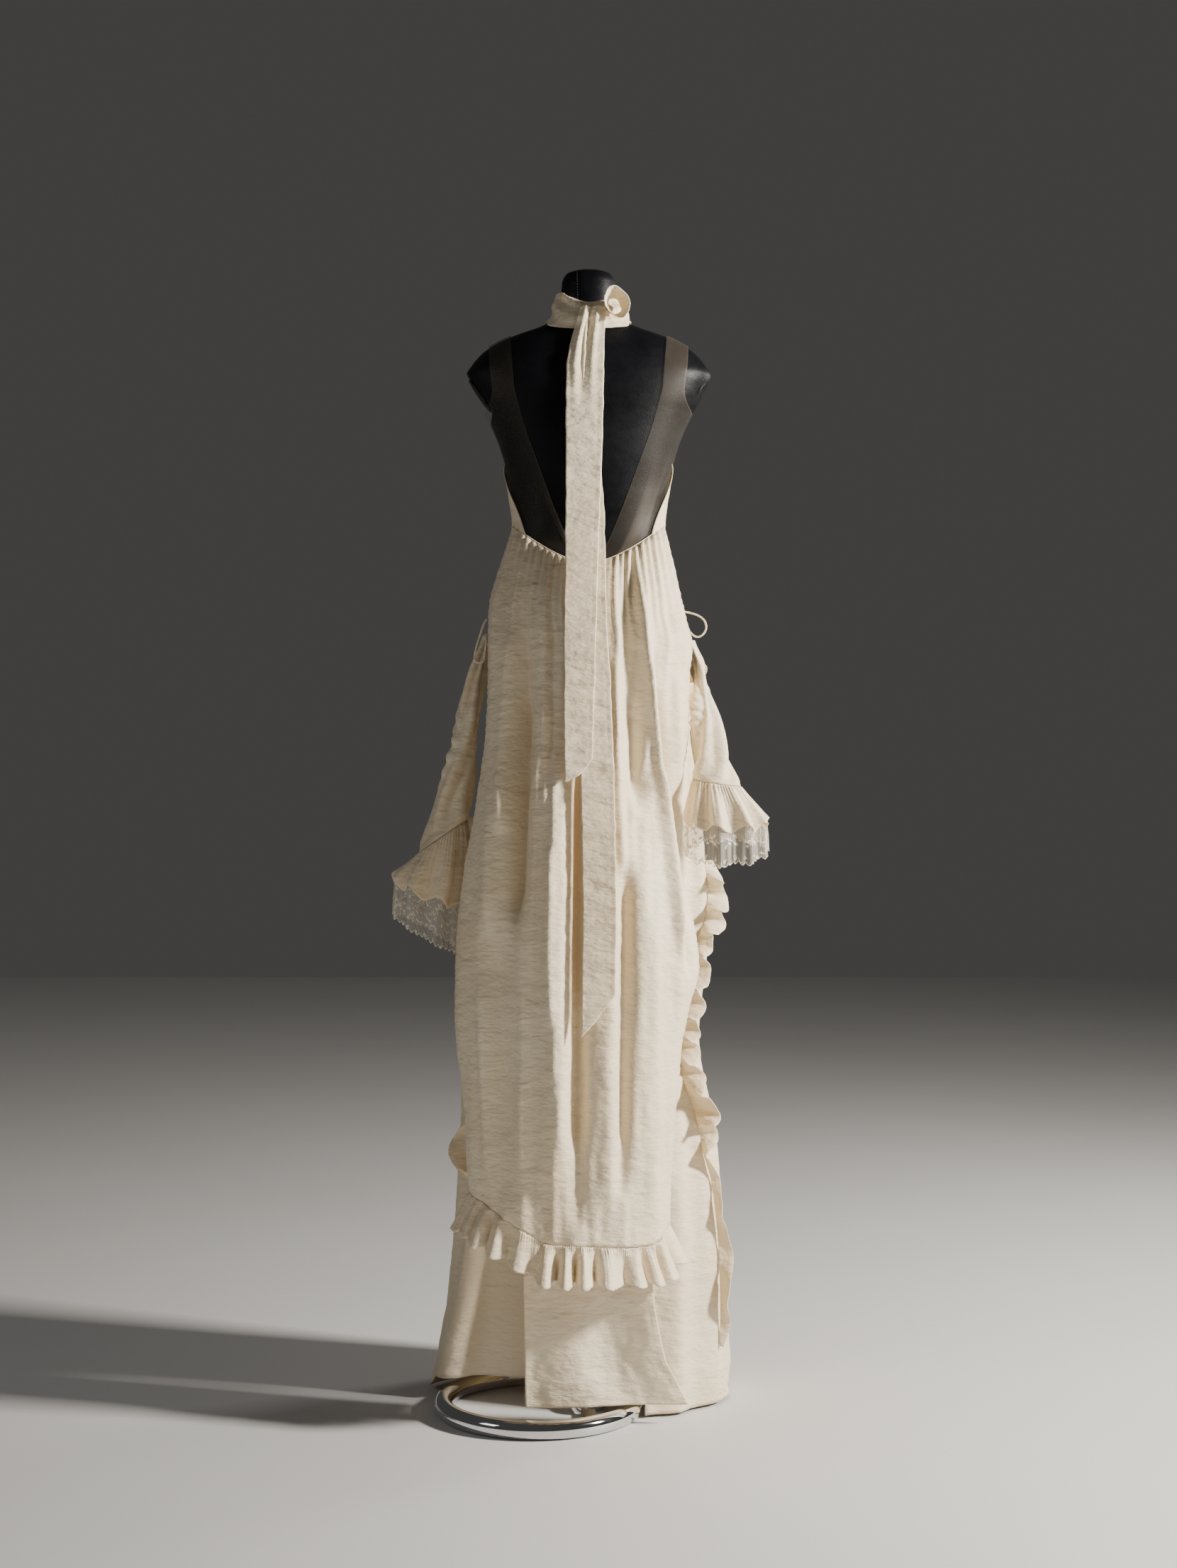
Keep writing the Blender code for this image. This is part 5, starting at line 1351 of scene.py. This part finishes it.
def seams():
    """Piping along the waist seam behind."""
    bearing = np.linspace(-89.5, 89.5, 260)
    foot = round_form(bearing, 1.42 + 0 * bearing, 0.0)
    for _ in range(4):
        foot = round_form(bearing, seam_height(foot[:, 0]), OVER_MESH + 0.0006)
    tube("waist_seam_piping", foot, PIPING_RADIUS, CREPE, SMALL_TUBE_SIDES)


# Dress form and stand

def bare_mesh(name, points, faces):
    """A helper body that isn't part of the dress, such as a cutter."""
    mesh = bpy.data.meshes.new(name)
    mesh.from_pydata([tuple(p) for p in points], [], faces)
    made = bpy.data.objects.new(name, mesh)
    bpy.context.scene.collection.objects.link(made)
    return made


def arm_frame(side):
    """Middle of the slanted arm cut, its direction up the slant and its outward normal."""
    low = Vector((side * ARM_CUT_LOW[0], 0.0, ARM_CUT_LOW[1]))
    high = Vector((side * ARM_CUT_HIGH[0], 0.0, ARM_CUT_HIGH[1]))
    up = (high - low).normalized()
    out = Vector((side * up.z, 0.0, -side * up.x))
    return (low + high) / 2, up, out


def arm_cutter(side):
    middle, up, out = arm_frame(side)
    reach = (ARM_CUT_HIGH[1] - ARM_CUT_LOW[1]) / up.z / 2
    low = middle - up * reach
    far = middle + up * reach * 2.2
    outline = (low, far, far + out * 0.1, low + out * 0.1 + Vector((0.0, 0.0, -0.01)),
               low + Vector((side * 0.006, 0, -0.02)))
    count = len(outline)
    points = [p + Vector((0.0, y, 0.0)) for y in (-0.15, 0.15) for p in outline]
    faces = [tuple(range(count)), tuple(range(2 * count - 1, count - 1, -1))]
    faces += [(k, k + count, (k + 1) % count + count, (k + 1) % count) for k in range(count)]
    return bare_mesh("arm_cutter", points, faces)


def form_torso():
    heights = np.unique(np.concatenate([np.linspace(FORM["height"][0], FORM["height"][-1], 170),
                                        FORM["height"]]))
    z, turn = np.meshgrid(heights, np.arange(150) * 360 / 150, indexing="ij")
    grid = round_form(turn, z)
    torso = capped("form_torso_skin", grid, LEATHER, flip=True)
    for side in (-1, 1):
        cutter = arm_cutter(side)
        cut = torso.modifiers.new("arm_cut", "BOOLEAN")
        cut.operation = "DIFFERENCE"
        cut.object = cutter
        shaped = bpy.data.meshes.new_from_object(
            torso.evaluated_get(bpy.context.evaluated_depsgraph_get()))
        torso.modifiers.clear()
        torso.data = shaped
        bpy.data.objects.remove(cutter, do_unlink=True)
    shaped.materials.clear()
    shaped.materials.append(LEATHER)
    shaped.polygons.foreach_set("use_smooth", np.ones(len(shaped.polygons), bool))
    shaped.set_sharp_from_angle(angle=math.radians(35))
    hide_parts("form_torso")


def arm_plate(side):
    """Padded leather cap on the arm cut, with a rolled edge and a ring of stitches."""
    middle, up, out = arm_frame(side)
    across = Vector((0.0, 1.0, 0.0))
    thick = ARM_PLATE["thick"]
    levels = ((0.0003, 0.0006), (0.0012, 0.0), (thick - 0.0012, 0.0), (thick - 0.0004, 0.0006),
              (thick, 0.0016), (thick - 0.0003, 0.0036), (thick - 0.0006, 0.0060),
              (thick - 0.0003, 0.0120), (thick - 0.0001, 0.0200), (thick, 0.0300))
    count = 96
    points = []
    for level, inset in levels:
        for k in range(count):
            angle = TURN * k / count
            points.append(middle + out * level
                          + up * max(ARM_PLATE["along"] - inset, 0.0008) * math.cos(angle)
                          + across * (ARM_PLATE["across"] - inset) * math.sin(angle))
    grid = np.array([tuple(p) for p in points]).reshape(len(levels), count, 3)
    name = f"arm_plate_{SIDES[side]}"
    made = capped(f"{name}_cap", grid, LEATHER, flip=side > 0)
    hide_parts(name)
    angle = np.linspace(0, TURN, 200)
    ring = np.array([tuple(middle + out * (thick - 0.0005)
                           + up * (ARM_PLATE["along"] - 0.0046) * math.cos(a)
                           + across * (ARM_PLATE["across"] - 0.0046) * math.sin(a)) for a in angle])
    stitches(f"{name}_stitches", ring, np.tile(tuple(out), (len(ring), 1)), BLACK_THREAD,
             pitch=0.0048, long=0.0034)


def form_seam():
    """Centre back seam of the leather: a narrow welt with a row of stitches each side."""
    heights = np.linspace(1.858, 1.180, 500)
    x = np.interp(heights, (1.18, 1.70, 1.80, 1.86), (-0.004, -0.010, -0.0200, -0.0218))
    line = off_form(on_form(x, heights), np.full(len(x), -0.0003))
    normal = form_normals(line)
    tube("form_back_seam", line, WELT_RADIUS, LEATHER, SMALL_TUBE_SIDES)
    for side in (-1, 1):
        beside = off_form(on_form(x + side * 0.0030, heights), np.full(len(x), 0.0))
        stitches(f"form_seam_stitches_{SIDES[side]}", beside, normal,
                 BLACK_THREAD, pitch=0.0046, long=0.0032)


def revolved(name, rows, material, sides=72):
    """Body turned round the upright axis, from its lowest row to its highest."""
    turn = np.arange(sides) * TURN / sides
    grid = np.array([[(r * math.cos(a), r * math.sin(a), z) for a in turn] for r, z in rows])
    made = capped(name, grid, material)
    made.data.set_sharp_from_angle(angle=math.radians(40))
    return made


def stand():
    """Bent chrome ring with a flat bar across it, a hub and the pole."""
    turn = np.arange(200) * TURN / 200
    around = np.arange(36) * TURN / 36
    radius = RING_RADIUS + TUBE_RADIUS * np.cos(around)
    grid = places(RING_CENTRE_X + radius * np.cos(turn)[:, None],
                  radius * np.sin(turn)[:, None], TUBE_RADIUS + TUBE_RADIUS * np.sin(around))
    index = np.arange(len(turn) * len(around)).reshape(len(turn), len(around))
    index = np.concatenate([index, index[:, :1]], 1)
    index = np.concatenate([index, index[:1]], 0)
    quads = np.stack([index[:-1, :-1], index[1:, :-1], index[1:, 1:], index[:-1, 1:]], -1)
    made = make_mesh("stand_ring", grid.reshape(-1, 3), [quads.reshape(-1, 4)], CHROME)
    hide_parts("stand_base")
    bevel = 0.0015
    corner = ((-1, -1), (1, -1), (1, 1), (-1, 1))
    rows = ((BAR_LOW, 1.0), (BAR_HIGH - bevel, 1.0), (BAR_HIGH, 1.0 - bevel / BAR_HALF_WIDTH))
    points = [(sx * BAR_HALF_WIDTH * share, sy * BAR_HALF_LENGTH, z)
              for z, share in rows for sx, sy in corner]
    quads, _ = grid_faces(3, 4, True)
    bar = make_mesh("stand_bar", np.array(points), [quads, np.array([[3, 2, 1, 0]]),
                                                    np.array([[8, 9, 10, 11]])], CHROME)
    bar.data.set_sharp_from_angle(angle=math.radians(30))
    rim = 0.002
    revolved("stand_hub", ((HUB_RADIUS, 0.0003), (HUB_RADIUS, HUB_HEIGHT - rim),
                           (HUB_RADIUS - rim * 0.3, HUB_HEIGHT - rim * 0.3),
                           (HUB_RADIUS - rim, HUB_HEIGHT)), CHROME)
    pole = revolved("stand_pole_tube", ((POLE_RADIUS, HUB_HEIGHT + 0.0003),
                                        (POLE_RADIUS, FORM["height"][0] - 0.0003)),
                    CHROME, sides=48)
    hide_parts("stand_pole")


form_torso()
arm_plate(-1)
arm_plate(1)
form_seam()
stand()
neck_band()
neck_loop()
tail("tie_tail_upper", TAIL_UPPER, TAIL_UPPER_END, TAIL_STEP)
tail("tie_tail_lower", TAIL_LOWER, TAIL_LOWER_END, 0.0)
mesh_yoke(-1)
mesh_yoke(1)
bodice_front()
back_skirt()
back_hem_ruffle()
front_skirt()
centre_panel()
sleeve("sleeve_left", SLEEVE_LEFT, 91)
sleeve("sleeve_right", SLEEVE_RIGHT, 95)
cuff("left", CUFF_LEFT, LACE_LEFT_END)
cuff("right", CUFF_RIGHT, LACE_RIGHT_END)
skirt_frill("cascade_right", CASCADE_RIGHT, 101)
skirt_frill("cascade_left", CASCADE_LEFT, 105)
skirt_frill("side_frill_right", SIDE_FRILL, 109, pitch_share=0.8)
seams()


# Floor, world and soft studio lights

def floor():
    bpy.ops.mesh.primitive_plane_add(size=14, location=(0.0, 1.0, 0.0))
    ground = bpy.context.object
    ground.name = "floor"
    ground.data.materials.append(floor_paint())


def light(name, place, target, watts, size, colour):
    """Square lamp that faces its target."""
    data = bpy.data.lights.new(name, "AREA")
    data.energy = watts
    data.size = size
    data.color = colour
    lamp = bpy.data.objects.new(name, data)
    lamp.location = place
    aim = Vector(target) - Vector(place)
    lamp.rotation_euler = aim.to_track_quat("-Z", "Y").to_euler()
    bpy.context.scene.collection.objects.link(lamp)


def world():
    made = bpy.data.worlds.new("studio")
    made.use_nodes = True
    made.node_tree.nodes["Background"].inputs["Color"].default_value = WORLD_TINT
    made.node_tree.nodes["Background"].inputs["Strength"].default_value = WORLD_STRENGTH
    bpy.context.scene.world = made


floor()
world()
for lamp in LIGHTS:
    light(*lamp)

bpy.context.view_layer.update()
